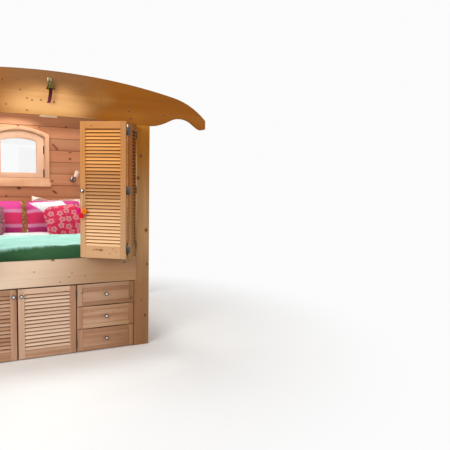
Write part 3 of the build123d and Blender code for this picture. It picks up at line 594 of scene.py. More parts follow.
# Cloth: the weave is the product of two sines, one across and one along in metres, with soft fuzz over it.
# The dips paint shade on a share of what lies between the threads, and woven finishes the cloth.
class Cloth(Finish):
    def __init__(self, name, thread):
        super().__init__(name)
        self.place = self.attribute("cloth")
        self.across, self.along, self.mark = self.split(self.place)
        turns = 2 * math.pi / thread
        warp = self.math("SINE", self.times(self.across, turns))
        weft = self.math("SINE", self.times(self.along, turns))
        self.weave = self.line(self.times(warp, weft), 0.5, 0.5)
        self.height = self.line(self.noise(self.place, 900.0, 2.0), 0.6, self.weave)

    def shadeDips(self, colour, dark, share):
        return self.mix(self.times(self.minus(1.0, self.weave), share), colour, dark)

    def woven(self, colour, rough, depth, distance, sheen, gloss):
        return self.finish(colour, rough, self.bump(self.height, depth, distance),
                           Sheen_Weight=sheen, Sheen_Roughness=0.4, Specular_IOR_Level=gloss)


# Plain cloth: slow clouds between two near colours.
def plainCloth(name, colour, shade):
    k = Cloth(name, 0.0016)
    tint = k.mix(k.steps(k.noise(k.place, 6.0, 3.0), 0.3, 0.75), colour, shade)
    return k.woven(k.shadeDips(tint, shade, 0.25), 0.85, 0.35, 0.0004, 0.3, 0.5)


# Striped cloth: wide bands by the share of the height, fine pale lines over them, and on the cushion that
# is marked a dotted border by one edge.
def stripedCloth(name):
    k = Cloth(name, 0.0022)
    rise = k.plus(k.over(k.along, 0.355), k.line(k.noise(k.place, 14.0), 0.02, -0.01))
    plum, lilac = (0.46, 0.018, 0.16), (0.66, 0.25, 0.42)
    crimson, pink = (0.66, 0.020, 0.10), (0.66, 0.045, 0.26)
    bands = k.ramp(rise, [(0.0, plum), (0.16, plum), (0.19, lilac), (0.26, lilac), (0.29, crimson),
                          (0.59, crimson), (0.62, lilac), (0.68, lilac), (0.72, pink), (1.0, pink)])
    fine = k.math("SINE", k.times(k.along, 2 * math.pi / 0.011))
    colour = k.mix(k.times(k.steps(fine, 0.7, 1.0), 0.22), bands, (0.80, 0.45, 0.55))
    colour = k.shadeDips(colour, (0.30, 0.01, 0.10), 0.3)
    dots = k.cells(k.place, 62.0)["Distance"]
    border = k.mix(k.steps(dots, 0.22, 0.38), (0.75, 0.30, 0.06), (0.20, 0.10, 0.05))
    marked = k.math("GREATER_THAN", k.mark, 0.5)
    colour = k.mix(k.times(k.steps(k.across, 0.218, 0.223), marked), colour, border)
    return k.woven(colour, 0.82, 0.5, 0.0006, 0.08, 0.15)


# Flowers: in each cell of a loose grid the petals' edge is a circle whose radius swells five times round.
def flowerCloth(name, ground, petal, heart, cellScale, sprig):
    k = Cloth(name, 0.0018)
    cell = k.cells(k.place, cellScale, 0.45)
    grow = (cellScale, cellScale, 0.0)
    heartPlace = k.vector("MULTIPLY", cell["Position"], grow)
    fromHeart = k.vector("SUBTRACT", k.vector("MULTIPLY", k.place, grow), heartPlace)
    parts = k.split(fromHeart)
    spin = k.line(k.math("ARCTAN2", parts[1], parts[0]), 5.0, k.times(cell["Color"], 6.0))
    radius = k.line(k.math("COSINE", spin), 0.07, 0.30)
    away = k.vector("LENGTH", fromHeart)
    rim = k.minus(1.0, k.steps(k.math("ABSOLUTE", k.minus(away, radius)), 0.012, 0.060))
    inner = k.steps(k.math("ABSOLUTE", k.minus(away, 0.17)), 0.0, 0.045, 1.0, 0.0)
    ring = k.math("MAXIMUM", rim, k.times(inner, 0.8))
    leaves = k.times(k.steps(k.noise(k.place, 38.0, 3.0), 0.60, 0.66), k.steps(away, 0.40, 0.46))
    tint = k.mix(k.steps(k.noise(k.place, 9.0), 0.35, 0.7), ground, dimmed(ground, 0.78))
    tint = k.mix(k.times(leaves, 0.75), tint, sprig)
    tint = k.mix(k.times(ring, 0.85), tint, petal)
    tint = k.mix(k.steps(away, 0.05, 0.10, 1.0, 0.0), tint, heart)
    return k.woven(k.shadeDips(tint, dimmed(ground, 0.5), 0.2), 0.85, 0.4, 0.0005, 0.08, 0.15)


# Quilt: painted light along the top and painted shade down the front, meeting in a ragged line at the roll.
def paintedLightQuilt(name):
    k = Cloth(name, 0.0024)
    ragged = k.line(k.streaks(k.place, (26.0, 6.0, 1.0), 5.0), 0.05, -0.025)
    top = k.steps(k.plus(k.line(k.across, -0.073, k.along), ragged), 0.132, 0.177)
    cloud = k.steps(k.streaks(k.place, (3.0, 9.0, 1.0), 3.0), 0.35, 0.7)
    light = k.mix(cloud, (0.49, 0.88, 0.78), (0.335, 0.75, 0.615))
    dark = k.mix(cloud, (0.040, 0.122, 0.050), (0.030, 0.095, 0.036))
    return k.woven(k.shadeDips(k.mix(top, dark, light), (0.02, 0.12, 0.07), 0.15), 0.9, 0.4, 0.0005, 0.12, 0.2)


creamCloth = plainCloth("creamPillow", (0.95, 0.78, 0.66), (0.88, 0.70, 0.57))
whiteCloth = plainCloth("whitePillow", (0.88, 0.85, 0.84), (0.80, 0.76, 0.78))
sheetCloth = plainCloth("whiteSheet", (0.86, 0.84, 0.82), (0.78, 0.75, 0.74))
# The quilt's top carries painted light and its front painted shade.
quiltCloth = paintedLightQuilt("greenQuilt")
stripes = stripedCloth("stripedCloth")
floral = flowerCloth("floralCloth", (0.68, 0.028, 0.085), (0.80, 0.60, 0.58), (0.12, 0.16, 0.12),
                     13.5, (0.78, 0.22, 0.28))
patterned = flowerCloth("patternedCloth", (0.36, 0.13, 0.17), (0.025, 0.02, 0.035), (0.70, 0.25, 0.06),
                        6.5, (0.60, 0.05, 0.20))
print("cloth materials ready")


bulkheadBevel = 0.0025
for name, node, material in (("headerBoard", "bow_header", headerPine),
                             ("bulkheadPosts", "bulkhead_posts", postPine),
                             ("bedRail", "bed_rail", railPine)):
    bevelledPiece(name, node, material, "bulkhead_pine", bulkheadBevel)
for node, material in (("base_sides", postPine), ("bed_side_rails", carcaseY), ("deck_bearers", carcaseY),
                       ("base_divider", carcaseY), ("bed_slats", carcaseX), ("drawer_runners", carcaseY)):
    finishNode(node, material)
print("bulkhead and base ready")

wallPlan = {"thickness": 0.045, "pitch": 0.13225, "start": 0.027, "groove": 0.0022, "depth": 0.003,
            "half": 1.40, "foot": -0.05, "top": 2.30}


# The planked slab: its face steps back into a V at each joint; the profile in depth and height runs across
# the wall.
def plankedSlab(name):
    w = wallPlan
    joints = np.arange(w["start"], w["top"], w["pitch"])
    grooves = np.stack([joints - w["groove"], joints, joints + w["groove"]], 1).ravel()
    z = np.concatenate([[w["foot"]], grooves, [w["top"]]])
    inset = np.concatenate([[0.0], np.tile([0.0, w["depth"], 0.0], len(joints)), [0.0]])
    front = np.stack([wallY + inset, z], 1)
    back = np.stack([wallY + w["thickness"] - inset, z], 1)[::-1]
    loop = np.concatenate([front, back])
    n = len(loop)
    points = np.zeros((2, n, 3))
    points[..., 0] = np.array([-w["half"], w["half"]])[:, None]
    points[..., 1:] = loop
    rows = np.arange(len(front) - 1)
    ends = np.stack([rows, rows + 1, n - 2 - rows, n - 1 - rows], 1)
    return makeMesh(name, [{"points": points, "faces": [gridFaces(2, n, closed=True), ends, ends + n]}])


# The slab is cut to the end wall's own outline, whose faces are first moved clear of it on both sides.
def cutToWall(planks):
    cutter = closedCopy("wallOutline", "end_wall")
    places = coordinates(cutter.data)
    places[:, 1] = np.where(places[:, 1] > wallY + 0.02, wallY + 0.08, wallY - 0.03)
    setCoordinates(cutter.data, places)
    cut = planks.modifiers.new("outline", "BOOLEAN")
    cut.operation = "INTERSECT"
    cut.solver = "EXACT"
    cut.object = cutter
    evaluated = planks.evaluated_get(bpy.context.evaluated_depsgraph_get())
    mesh = bpy.data.meshes.new_from_object(evaluated)
    planks.modifiers.clear()
    planks.data = mesh
    mesh.shade_flat()
    bpy.data.objects.remove(cutter)


planks = plankedSlab("wallPlanks")
cutToWall(planks)
finishPiece(planks, wallPine, "wall_pine", "end_wall")
print("end wall ready", len(planks.data.polygons))

rebatePlan = {"reach": 0.0045, "thickness": 0.006}


# The rebate that the casement closes against: the lining's own outline, drawn in towards its middle by the
# reach and pressed to a thin strip halfway through the wall.
def addRebate(piece, plan):
    count = len(piece.data.vertices)
    bm = bmesh.new()
    bm.from_mesh(piece.data)
    bmesh.ops.duplicate(bm, geom=bm.verts[:] + bm.edges[:] + bm.faces[:])
    bm.to_mesh(piece.data)
    bm.free()
    places = coordinates(piece.data)
    strip = places[count:]
    low, high = strip.min(0), strip.max(0)
    share = 1 - 2 * plan["reach"] / (high - low)
    share[1] = plan["thickness"] / (high - low)[1]
    places[count:] = (low + high) / 2 + (strip - (low + high) / 2) * share
    setCoordinates(piece.data, places)


addRebate(bevelledPiece("windowLining", "window_lining", windowPine, "wall_pine", 0.0012), rebatePlan)
bevelledPiece("windowTrim", "window_trim", trimPine, "wall_pine", 0.003)
bevelledPiece("windowCasement", "window_casement", windowPine, "wall_pine", 0.003)
bevelledPiece("windowHinges", "window_hinges", darkSteel, "hinge_steel", 0.0004, 1)


# Glass: clear with a faint green cast, and slow ripples in its face.
def windowGlass():
    k = Finish("windowGlass")
    ripple = k.noise(k.objectPlace(), 6.0, 2.0)
    tint = k.mix(ripple, (0.97, 0.995, 0.99), (0.99, 1.0, 1.0))
    return k.finish(tint, 0.02, k.bump(ripple, 0.02, 0.002), Transmission_Weight=1.0, IOR=1.45)


finishNode("window_glass", windowGlass())

# In these plans the slats' lift into the pale colour is painted light, the recess value sets painted shade at
# the slats' inner edges, and the lowering round the leaf's middle height is painted shade.
doorPlan = {"width": 0.44125, "height": 0.560, "thickness": 0.028, "stile": 0.047, "topRail": 0.045,
            "footRail": 0.066, "louvres": 15, "slope": 1, "paler": 3.6, "middleShade": 0.0, "recess": 9.0,
            "foot": 0.008, "knobInset": 0.023, "knobHeight": 0.511}
leafPlan = {"height": 1.076, "thickness": 0.028, "stile": 0.044, "topRail": 0.057, "footRail": 0.097,
            "louvres": 34, "slope": -1, "paler": 3.9, "middleShade": 2.4, "recess": 14.0, "foot": 0.804,
            "pinX": 0.711, "gap": 0.0015, "standOff": 0.004, "jambWidth": 0.320, "freeWidth": 0.380,
            "knobHeight": 1.336}
jambPlan = {**leafPlan, "recess": 1.0}
louvrePlan = {"width": 0.034, "thickness": 0.006, "angle": 52.0, "housing": 0.006, "shadeFrom": 0.30,
              "shadeOver": 0.25, "middleShadeHeight": 0.52, "middleShadeSpread": 0.17, "bevel": 0.0012}


# Louvre slats: a rounded section turned by the slat angle and carried across the leaf, once for each
# height. Painted light lifts the tone, and painted shade lowers it towards the inner edge, where the slat
# above shades it.
def slats(x0, x1, middleY, heights, slope, seed, paler, recess):
    p = louvrePlan
    random = np.random.default_rng(seed)
    turn = np.radians([0, 18, 36, 54, 72, 81, 85, 90, 108, 126, 144, 162])
    turn = np.concatenate([turn, turn + np.pi])
    ring, count = len(turn), len(heights)
    a = np.sign(np.cos(turn)) * np.abs(np.cos(turn)) ** 0.35 * p["width"] / 2
    b = np.sign(np.sin(turn)) * np.abs(np.sin(turn)) ** 0.75 * p["thickness"] / 2
    lean = math.radians(slope * p["angle"])
    points = np.zeros((count, 2, ring, 3))
    points[..., 0] = np.array([x0, x1])[:, None]
    points[..., 1] = middleY + a * math.cos(lean) - b * math.sin(lean)
    points[..., 2] = heights[:, None, None] + (a * math.sin(lean) + b * math.cos(lean))
    grain = points.copy()
    grain[..., 1], grain[..., 2] = a, b
    grain += random.uniform(0, 9, (count, 1, 1, 3))
    # Painted shade towards the slat's inner edge.
    deep = np.clip((a * slope / (p["width"] / 2) - p["shadeFrom"]) / p["shadeOver"], 0, 1)
    tone = random.uniform(-0.7, 0.7, count) + paler
    tone = tone[:, None, None] - recess * deep + np.zeros((count, 2, ring))
    sides = gridFaces(2, ring, closed=True)
    caps = np.stack([np.arange(ring)[::-1], np.arange(ring) + ring])
    return {
        "points": points.reshape(-1, 3),
        "faces": [repeated(sides, count, 2 * ring), repeated(caps, count, 2 * ring)],
        "grain": grain.reshape(-1, 3),
        "tone": tone.ravel(),
    }


# A louvred leaf from its lower left corner: two stiles, a foot rail and a top rail as boards, and slats at
# an even pitch between the rails. The tones are those of the near stile, the far stile, the foot rail, the
# top rail and the slats, whose painted light is lowered round a height of the leaf, as painted shade.
def louvredLeaf(plan, width, seed, tones):
    t, s, high = plan["thickness"], plan["stile"], plan["height"]
    foot, top = plan["footRail"], high - plan["topRail"]
    frameBoards = boards([(0, s, 0, t, 0, high), (width - s, width, 0, t, 0, high),
                          (s, width - s, 0, t, 0, foot), (s, width - s, 0, t, top, high)],
                         "zzxx", louvrePlan["bevel"], seed)
    heights = foot + (top - foot) / plan["louvres"] * (np.arange(plan["louvres"]) + 0.5)
    # Painted shade round the leaf's middle height lowers the slats' painted light.
    around = (heights / high - louvrePlan["middleShadeHeight"]) / louvrePlan["middleShadeSpread"]
    paler = plan["paler"] - plan["middleShade"] * np.exp(-around ** 2)
    inside = s - louvrePlan["housing"]
    blades = slats(inside, width - inside, t / 2, heights, plan["slope"], seed + 50, paler, plan["recess"])
    frameBoards["tone"] = np.repeat(tones[:4], boxPoints)
    blades["tone"] = blades["tone"] + tones[4]
    return [frameBoards, blades]


# A louvred leaf as a finished piece, carried to its place.
def leafPiece(name, plan, width, seed, tones, place, material, slotName, node, body="root"):
    parts = [moved(part, place) for part in louvredLeaf(plan, width, seed, tones)]
    return finishPiece(makeMesh(name, parts), material, slotName, node, body=body)


# A frame on a pin: a turn about the upright through (x, y).
def turnZ(angle, x, y):
    return Matrix.Translation((x, y, 0.0)) @ Matrix.Rotation(math.radians(angle), 4, "Z")


# The jamb leaf hangs on its pin at the post; the free leaf is folded back on the far edge's pin.
def leafFrames(jambAngle, foldAngle):
    p = leafPlan
    x, y = p["pinX"] - p["gap"], bulkheadY - p["standOff"]
    a = math.radians(jambAngle)
    along = 2 * p["gap"] + p["jambWidth"]
    across = 2 * p["standOff"] + p["thickness"]
    foldX = x - along * math.sin(a) - across * math.cos(a)
    foldY = y - along * math.cos(a) + across * math.sin(a)
    return turnZ(-90 - jambAngle, x, y), turnZ(90 + foldAngle, foldX, foldY)


leafSides = {"right": {"angles": (24.4, 51.5), "seed": 11, "flip": Matrix.Identity(4)},
             "left": {"angles": (8.0, 31.0), "seed": 31, "flip": Matrix.Scale(-1, 4, (1, 0, 0))}}
jambTones, freeTones = (0.0, 0.0, 0.0, 0.0, 0.0), (-0.3, 0.9, 1.2, 1.4, 0.0)
leafFold = {}
for side, own in leafSides.items():
    p = leafPlan
    jambFrame, foldFrame = (own["flip"] @ matrix for matrix in leafFrames(*own["angles"]))
    leafFold[side] = foldFrame
    jambPlace = jambFrame @ Matrix.Translation((p["gap"], -p["standOff"] - p["thickness"], p["foot"]))
    freePlace = foldFrame @ Matrix.Translation((p["gap"], p["standOff"], p["foot"]))
    leafPiece("jambLeaf" + side.capitalize(), jambPlan, p["jambWidth"], own["seed"], jambTones, jambPlace,
              shadedJambPine, "leaf_pine", "jamb_leaf_" + side)
    leafPiece("freeLeaf" + side.capitalize(), p, p["freeWidth"], own["seed"] + 7, freeTones, freePlace,
              leafPine, "leaf_pine", "free_leaf_" + side)

doorSides = {"left": {"x": -0.690, "seed": 61, "tones": (0.0, 0.0, 0.0, 0.0, -1.6)},
             "right": {"x": -0.23875, "seed": 71, "tones": (2.7, 1.4, 0.3, 3.0, 0.5)}}
for side, own in doorSides.items():
    place = Matrix.Translation((own["x"], bulkheadY, doorPlan["foot"]))
    leafPiece("louvredDoor" + side.capitalize(), doorPlan, doorPlan["width"], own["seed"], own["tones"],
              place, frontPine, "front_pine", "door_" + side, body="door_" + side)
print("louvred leaves and doors ready")

drawerPlan = {"x0": 0.2135, "x1": 0.690, "thickness": 0.020, "stile": 0.042, "rail": 0.033, "recess": 0.006,
              "height": 0.55 / 3, "gap": 0.005, "foot": 0.008, "lap": 0.004, "panelBack": 0.001,
              "bevel": 0.0016, "tones": (1.0, 1.0, -0.8), "seed": 81}


# The foot of a drawer front: the fronts stand on one another with a gap between.
def drawerFoot(i):
    return drawerPlan["foot"] + i * (drawerPlan["height"] + drawerPlan["gap"])


# A drawer front: two stiles and two rails as boards, round a panel set back into them by the lap.
def drawerFront(i):
    d = drawerPlan
    x0, x1, s, r, lap = d["x0"], d["x1"], d["stile"], d["rail"], d["lap"]
    z0 = drawerFoot(i)
    z1 = z0 + d["height"]
    y0, y1 = bulkheadY, bulkheadY + d["thickness"]
    face = boards(
        [(x0, x0 + s, y0, y1, z0, z1), (x1 - s, x1, y0, y1, z0, z1),
         (x0 + s, x1 - s, y0, y1, z0, z0 + r), (x0 + s, x1 - s, y0, y1, z1 - r, z1),
         (x0 + s - lap, x1 - s + lap, y0 + d["recess"], y1 - d["panelBack"], z0 + r - lap, z1 - r + lap)],
        "zzxxx", d["bevel"], d["seed"] + i)
    face["tone"] = face["tone"] * 0.5 + d["tones"][i]
    return face


for i in range(3):
    number = str(i + 1)
    front = makeMesh("drawerFront" + number, [drawerFront(i)])
    finishPiece(front, frontPine, "front_pine", "drawer_front_" + number, body="drawer_" + number)
    finishNode("drawer_box_" + number, carcaseY)
print("drawers ready")

knobPlan = {"radius": 0.015, "stem": 0.006, "length": 0.025, "foot": 0.009, "dome": 0.007, "steps": 40}


# Knob: a foot that sweeps into a stem, opens to the rim and closes in a low dome, turned about its own
# axis. The tone is the share of the radius on the dome, and 1 below it; from it the chrome paints a
# highlight in the dome's middle and a dark reflection round it.
def knobPart(place):
    k = knobPlan
    rim = k["length"] - k["dome"]
    t = np.linspace(0, 1, 9)
    footRadius = k["foot"] + (k["stem"] - k["foot"]) * np.sin(t * np.pi / 2)
    foot = np.stack([footRadius, 0.0012 + 0.005 * t ** 1.5], 1)
    neckRadius = k["stem"] + (k["radius"] - k["stem"]) * t ** 2.2
    neck = np.stack([neckRadius, 0.0085 + (rim - 0.0085) * t], 1)
    turn = np.linspace(0, np.pi / 2, 12)[1:]
    dome = np.stack([k["radius"] * np.cos(turn), rim + k["dome"] * np.sin(turn)], 1)
    profile = np.concatenate([[(0, 0), (k["foot"], 0)], foot, neck, dome])
    profile[-1, 0] = 0.0
    part = turnedPart(profile, k["steps"], place @ towardsRoom)
    part["tone"] = np.where(profile[:, 1] > rim - 1e-6, profile[:, 0] / k["radius"], 1.0).repeat(k["steps"])
    return part


# One piece of one or more knobs.
def knobPiece(name, places, node, body="root"):
    piece = makeMesh(name, [knobPart(place) for place in places], smoothAngle=50, merge=1e-6)
    return finishPiece(piece, knobChrome, "chrome", node, body=body)


# The middle of a free leaf's knob on the leaf's face.
def leafKnobPlace(side):
    p = leafPlan
    x = p["gap"] + p["freeWidth"] - p["stile"] / 2
    return leafFold[side] @ Matrix.Translation((x, p["standOff"] + p["thickness"], p["knobHeight"]))


for i in range(3):
    d = drawerPlan
    number = str(i + 1)
    height = drawerFoot(i) + d["height"] / 2
    place = Matrix.Translation(((d["x0"] + d["x1"]) / 2, bulkheadY + d["recess"], height))
    knobPiece("drawerKnob" + number, [place], "drawer_knob_" + number, "drawer_" + number)
halfTurn = Matrix.Rotation(math.pi, 4, "Z")
knobPiece("leafKnobs", [leafKnobPlace(side) @ halfTurn for side in ("right", "left")], "leaf_knobs")
bevelledPiece("leafHinges", "leaf_hinges", hingeSteel, "hinge_steel", 0.0003, 1)


# The hinge leaves of a door are kept from its fittings, whose knob is turned anew.
def doorFittings(side, x):
    fittings, body = "door_%s_fittings" % side, "door_" + side
    leaves = closedCopy("doorHingeLeaves" + side.capitalize(), fittings)
    bm = bmesh.new()
    bm.from_mesh(leaves.data)
    bmesh.ops.delete(bm, geom=[v for v in bm.verts if abs(v.co.x - x) < 0.02], context="VERTS")
    bm.to_mesh(leaves.data)
    bm.free()
    finishPiece(leaves, hingeSteel, "chrome", fittings, body=body)
    place = Matrix.Translation((x, bulkheadY, doorPlan["knobHeight"]))
    knobPiece("doorKnob" + side.capitalize(), [place], fittings, body)


doorFittings("left", doorSides["left"]["x"] + doorPlan["width"] - doorPlan["knobInset"])
doorFittings("right", doorSides["right"]["x"] + doorPlan["knobInset"])
bevelledPiece("doorHinges", "door_hinges", hingeSteel, "hinge_steel", 0.0003, 1)
print("knobs and hinges ready")

# Each cushion's outline is a size, or four rims: foot, right, head and left. place is where its
# own zero stands across the bed, its distance from the bulkhead and its lean in degrees.
cushionShape = {"pull": 0.012, "blunt": 0.10, "roll": 0.0, "mark": 0.0}
cushionPlans = {
    "tallPillow": dict(
        rims=([(-0.262, 0), (0.290, 0)], [(0.290, 0), (0.285, 0.368)],
              [(-0.251, 0.404), (-0.07, 0.350), (0.285, 0.368)], [(-0.262, 0), (-0.251, 0.404)]),
        thickness=0.120, place=(0.360, 1.676, 16.0), pull=0.0, blunt=0.0, fill=0.5,
        cloth=creamCloth, slot="pillow_cloth", node="pillows"),
    "pillowLeft": dict(
        size=(0.600, 0.330), thickness=0.130, place=(-0.360, 1.672, 22.0), fill=0.5,
        cloth=creamCloth, slot="pillow_cloth", node="pillows"),
    "frontPillow": dict(
        rims=([(-0.050, 0), (0.245, 0)], [(0.245, 0), (0.200, 0.290)],
              [(-0.250, 0.361), (0.080, 0.385), (0.200, 0.290)],
              [(-0.050, 0), (-0.050, 0.205), (-0.250, 0.361)]),
        thickness=0.110, place=(0.292, 1.339, 28.0), pull=0.0, blunt=0.0, fill=0.4,
        cloth=whiteCloth, slot="pillow_cloth", node="pillows"),
    "stripedRight": dict(
        size=(0.556, 0.355), pull=0.0, blunt=0.04, thickness=0.110, place=(0.313, 1.532, 17.0), fill=0.6,
        cloth=stripes, slot="striped_cloth", node="striped_cushions"),
    "stripedLeft": dict(
        size=(0.556, 0.355), pull=0.0, blunt=0.04, thickness=0.110, place=(-0.247, 1.532, 17.0), fill=0.6,
        mark=1.0, cloth=stripes, slot="striped_cloth", node="striped_cushions"),
    "floralRight": dict(
        size=(0.400, 0.345), pull=-0.01, blunt=0.16, thickness=0.120, place=(0.384, 1.152, 28.0), fill=0.7,
        roll=7.0, cloth=floral, slot="floral_cloth", node="floral_cushions"),
    "patternedLeft": dict(
        size=(0.400, 0.345), pull=-0.01, blunt=0.12, thickness=0.120, place=(-0.402, 1.318, 28.0), fill=0.7,
        cloth=patterned, slot="floral_cloth", node="floral_cushions"),
}
clothSettings = {"quality": 6, "mass": 0.25, "tension_stiffness": 18, "compression_stiffness": 18,
                 "shear_stiffness": 6, "bending_stiffness": 0.4, "use_pressure": True,
                 "uniform_pressure_force": 4.0, "shrink_min": -0.05, "vertex_group_mass": "seam",
                 "pin_stiffness": 1.0}
airPlan = {"frames": 20, "cap": 0.03}


# Points along a polyline at given shares of its length.
def alongRim(rim, shares):
    rim = np.array(rim, float)
    length = np.concatenate([[0], np.cumsum(np.hypot(*np.diff(rim, axis=0).T))])
    return np.stack([np.interp(shares * length[-1], length, rim[:, i]) for i in (0, 1)], -1)


# Four rims make a sheet: both pairs of opposite rims are blended and the corners' own blend is taken off.
def blendedSheet(rims, u, v):
    foot, right, head, left = (alongRim(rim, shares) for rim, shares in zip(rims, (u, v, u, v)))
    u, v = u[:, None, None], v[None, :, None]
    ruled = (1 - v) * foot[:, None] + v * head[:, None] + (1 - u) * left[None] + u * right[None]
    corners = (1 - u) * (1 - v) * foot[0] + u * (1 - v) * foot[-1] + (1 - u) * v * head[0] + u * v * head[-1]
    return ruled - corners


# The four rims of a plain rectangle, its foot at height 0.
def squareRims(width, high):
    a, b, c, d = (-width / 2, 0), (width / 2, 0), (width / 2, high), (-width / 2, high)
    return [a, b], [b, c], [d, c], [a, d]


# Shares from 0 to 1 that lie closer together towards both ends, by a power of the distance from the nearer
# end.
def closerAtEnds(count):
    t = 1 - 2 * np.linspace(0, 1, count)
    return 0.5 - 0.5 * np.sign(t) * (1 - (1 - np.abs(t)) ** 1.25)


# A cushion starts as two sheets on one grid: the thickness is the crowned product of both spans, and the
# sides pull in between the corners. Its cloth value is its place across and up, in metres.
def cushionStart(name, plan):
    u, v = closerAtEnds(60), closerAtEnds(48)
    sheet = blendedSheet(plan.get("rims") or squareRims(*plan["size"]), u, v)
    flatX, flatZ = sheet[..., 0], sheet[..., 1]
    a, b = np.meshgrid(2 * u - 1, 2 * v - 1, indexing="ij")  # from -1 to 1 across and up
    pull, blunt = plan["pull"], plan["blunt"]
    x = flatX - 0.5 * np.ptp(flatX) * np.sign(a) * np.abs(a) ** 3 * (pull * (1 - b ** 2) + blunt * b ** 6)
    z = flatZ - 0.5 * np.ptp(flatZ) * np.sign(b) * np.abs(b) ** 3 * (2 * pull * (1 - a ** 2) + blunt * a ** 6)
    crown = (np.clip(1 - a ** 2, 0, 1) * np.clip(1 - b ** 2, 0, 1)) ** 0.45
    y = plan["thickness"] * 0.42 * crown
    faces = gridFaces(len(u), len(v))
    cloth = np.stack([flatX, flatZ, np.full_like(x, plan["mark"])], -1)
    piece = makeMesh(name, [{"points": np.stack([x, -y, z], -1), "faces": [faces[:, ::-1]], "cloth": cloth},
                            {"points": np.stack([x, y, z], -1), "faces": [faces], "cloth": cloth}],
                     smoothAngle=180, merge=1e-5)
    rim = np.nonzero(np.abs(coordinates(piece.data)[:, 1]) < 1e-5)[0]
    piece.vertex_groups.new(name="seam").add(rim.tolist(), 1.0, "REPLACE")
    return piece, (flatX.min(), flatX.max(), flatZ.max())


# Air pressure fills the cover; the seams hold it in, which puckers the edges. No point moves further than
# the cap.
def fillWithAir(piece):
    start = coordinates(piece.data)
    cloth = piece.modifiers.new("fill", "CLOTH")
    for key, value in clothSettings.items():
        setattr(cloth.settings, key, value)
    cloth.settings.effector_weights.gravity = 0
    for f in range(1, airPlan["frames"] + 1):
        scene.frame_set(f)
    step = coordinates(piece.evaluated_get(bpy.context.evaluated_depsgraph_get()).data) - start
    piece.modifiers.remove(cloth)
    far = np.linalg.norm(step, axis=1, keepdims=True)
    setCoordinates(piece.data, start + step * np.minimum(1, airPlan["cap"] / np.maximum(far, 1e-9)))
    scene.frame_set(1)


# The filled form is brought back to its plan size, leaned and set down; what would sink into the bed
# spreads flat.
def settle(piece, plan, reach):
    places = coordinates(piece.data)
    low, high = places.min(0), places.max(0)
    left, right, top = reach
    size = np.array([right - left, plan["thickness"], top])
    places = (places - (low + high) / 2) * (size / (high - low)) + ((left + right) / 2, 0, top / 2)
    x, y, lean = plan["place"]
    a, b = math.radians(lean), math.radians(plan["roll"])
    turn = Matrix.Rotation(-a, 4, "X") @ Matrix.Rotation(-b, 4, "Y")
    places = moved({"points": places}, turn)["points"]
    sink = 0.012 + 0.3 * abs(math.sin(b)) * right
    places[:, 2] = np.maximum(places[:, 2] - places[:, 2].min() + bedTop - sink, bedTop)
    setCoordinates(piece.data, places + (x, bulkheadY + y, 0))


# One level of subdivision, the same in the view and in the render.
def roundOff(piece):
    smooth = piece.modifiers.new("round", "SUBSURF")
    smooth.levels = smooth.render_levels = 1


for name, own in cushionPlans.items():
    plan = {**cushionShape, **own}
    piece, reach = cushionStart(name, plan)
    fillWithAir(piece)
    settle(piece, plan, reach)
    roundOff(piece)
    finishPiece(piece, plan["cloth"], plan["slot"], plan["node"])
    print(name, "filled")

mattressPlan = {"low": (-0.698, -0.7217, 0.620), "high": (0.698, 1.0965, 0.860), "round": 0.035,
                "cells": (40, 50, 8), "wavesAbove": 0.80}


# Rounded box: each point of a box is drawn to its inner core plus a fixed radius outwards.
def roundedBox(low, high, radius, cells):
    low, high = np.array(low), np.array(high)
    lines = []
    for a in range(3):
        edge = radius * np.array([0, 0.12, 0.3, 0.55, 0.8, 1.0])
        inner = np.linspace(low[a] + radius, high[a] - radius, cells[a])[1:-1]
        lines.append(np.concatenate([low[a] + edge, inner, (high[a] - edge)[::-1]]))
    parts = []
    for a in range(3):
        b, c = (a + 1) % 3, (a + 2) % 3
        across, along = np.meshgrid(lines[b], lines[c], indexing="ij")
        for side in (low[a], high[a]):
            points = np.zeros((*across.shape, 3))
            points[..., a], points[..., b], points[..., c] = side, across, along
            core = np.clip(points, low + radius, high - radius)
            out = points - core
            out /= np.maximum(np.linalg.norm(out, axis=-1, keepdims=True), 1e-9)
            parts.append({"points": core + radius * out, "faces": [gridFaces(*across.shape)]})
    return parts


# Mattress: a rounded box whose top is waved a little, by two crossing sines.
def mattressParts():
    m = mattressPlan
    parts = roundedBox(m["low"], m["high"], m["round"], m["cells"])
    for part in parts:
        x, y, z = np.moveaxis(part["points"], -1, 0)
        wave = 0.0016 * np.sin(x * 23 + 2 * np.sin(y * 7)) + 0.0012 * np.sin(y * 31 + x * 11)
        z += np.where(z > m["wavesAbove"], wave - 0.0015, 0)
        part["cloth"] = part["points"].copy()
    return parts


mattress = makeMesh("coveredMattress", mattressParts(), smoothAngle=60, merge=1e-5)
finishPiece(mattress, sheetCloth, "mattress_cloth", "mattress")

quiltPlan = {"front": -0.746, "end": 0.217, "half": 0.696, "thick": 0.024, "drop": 0.150, "roll": 0.048,
             "wadding": 0.86}


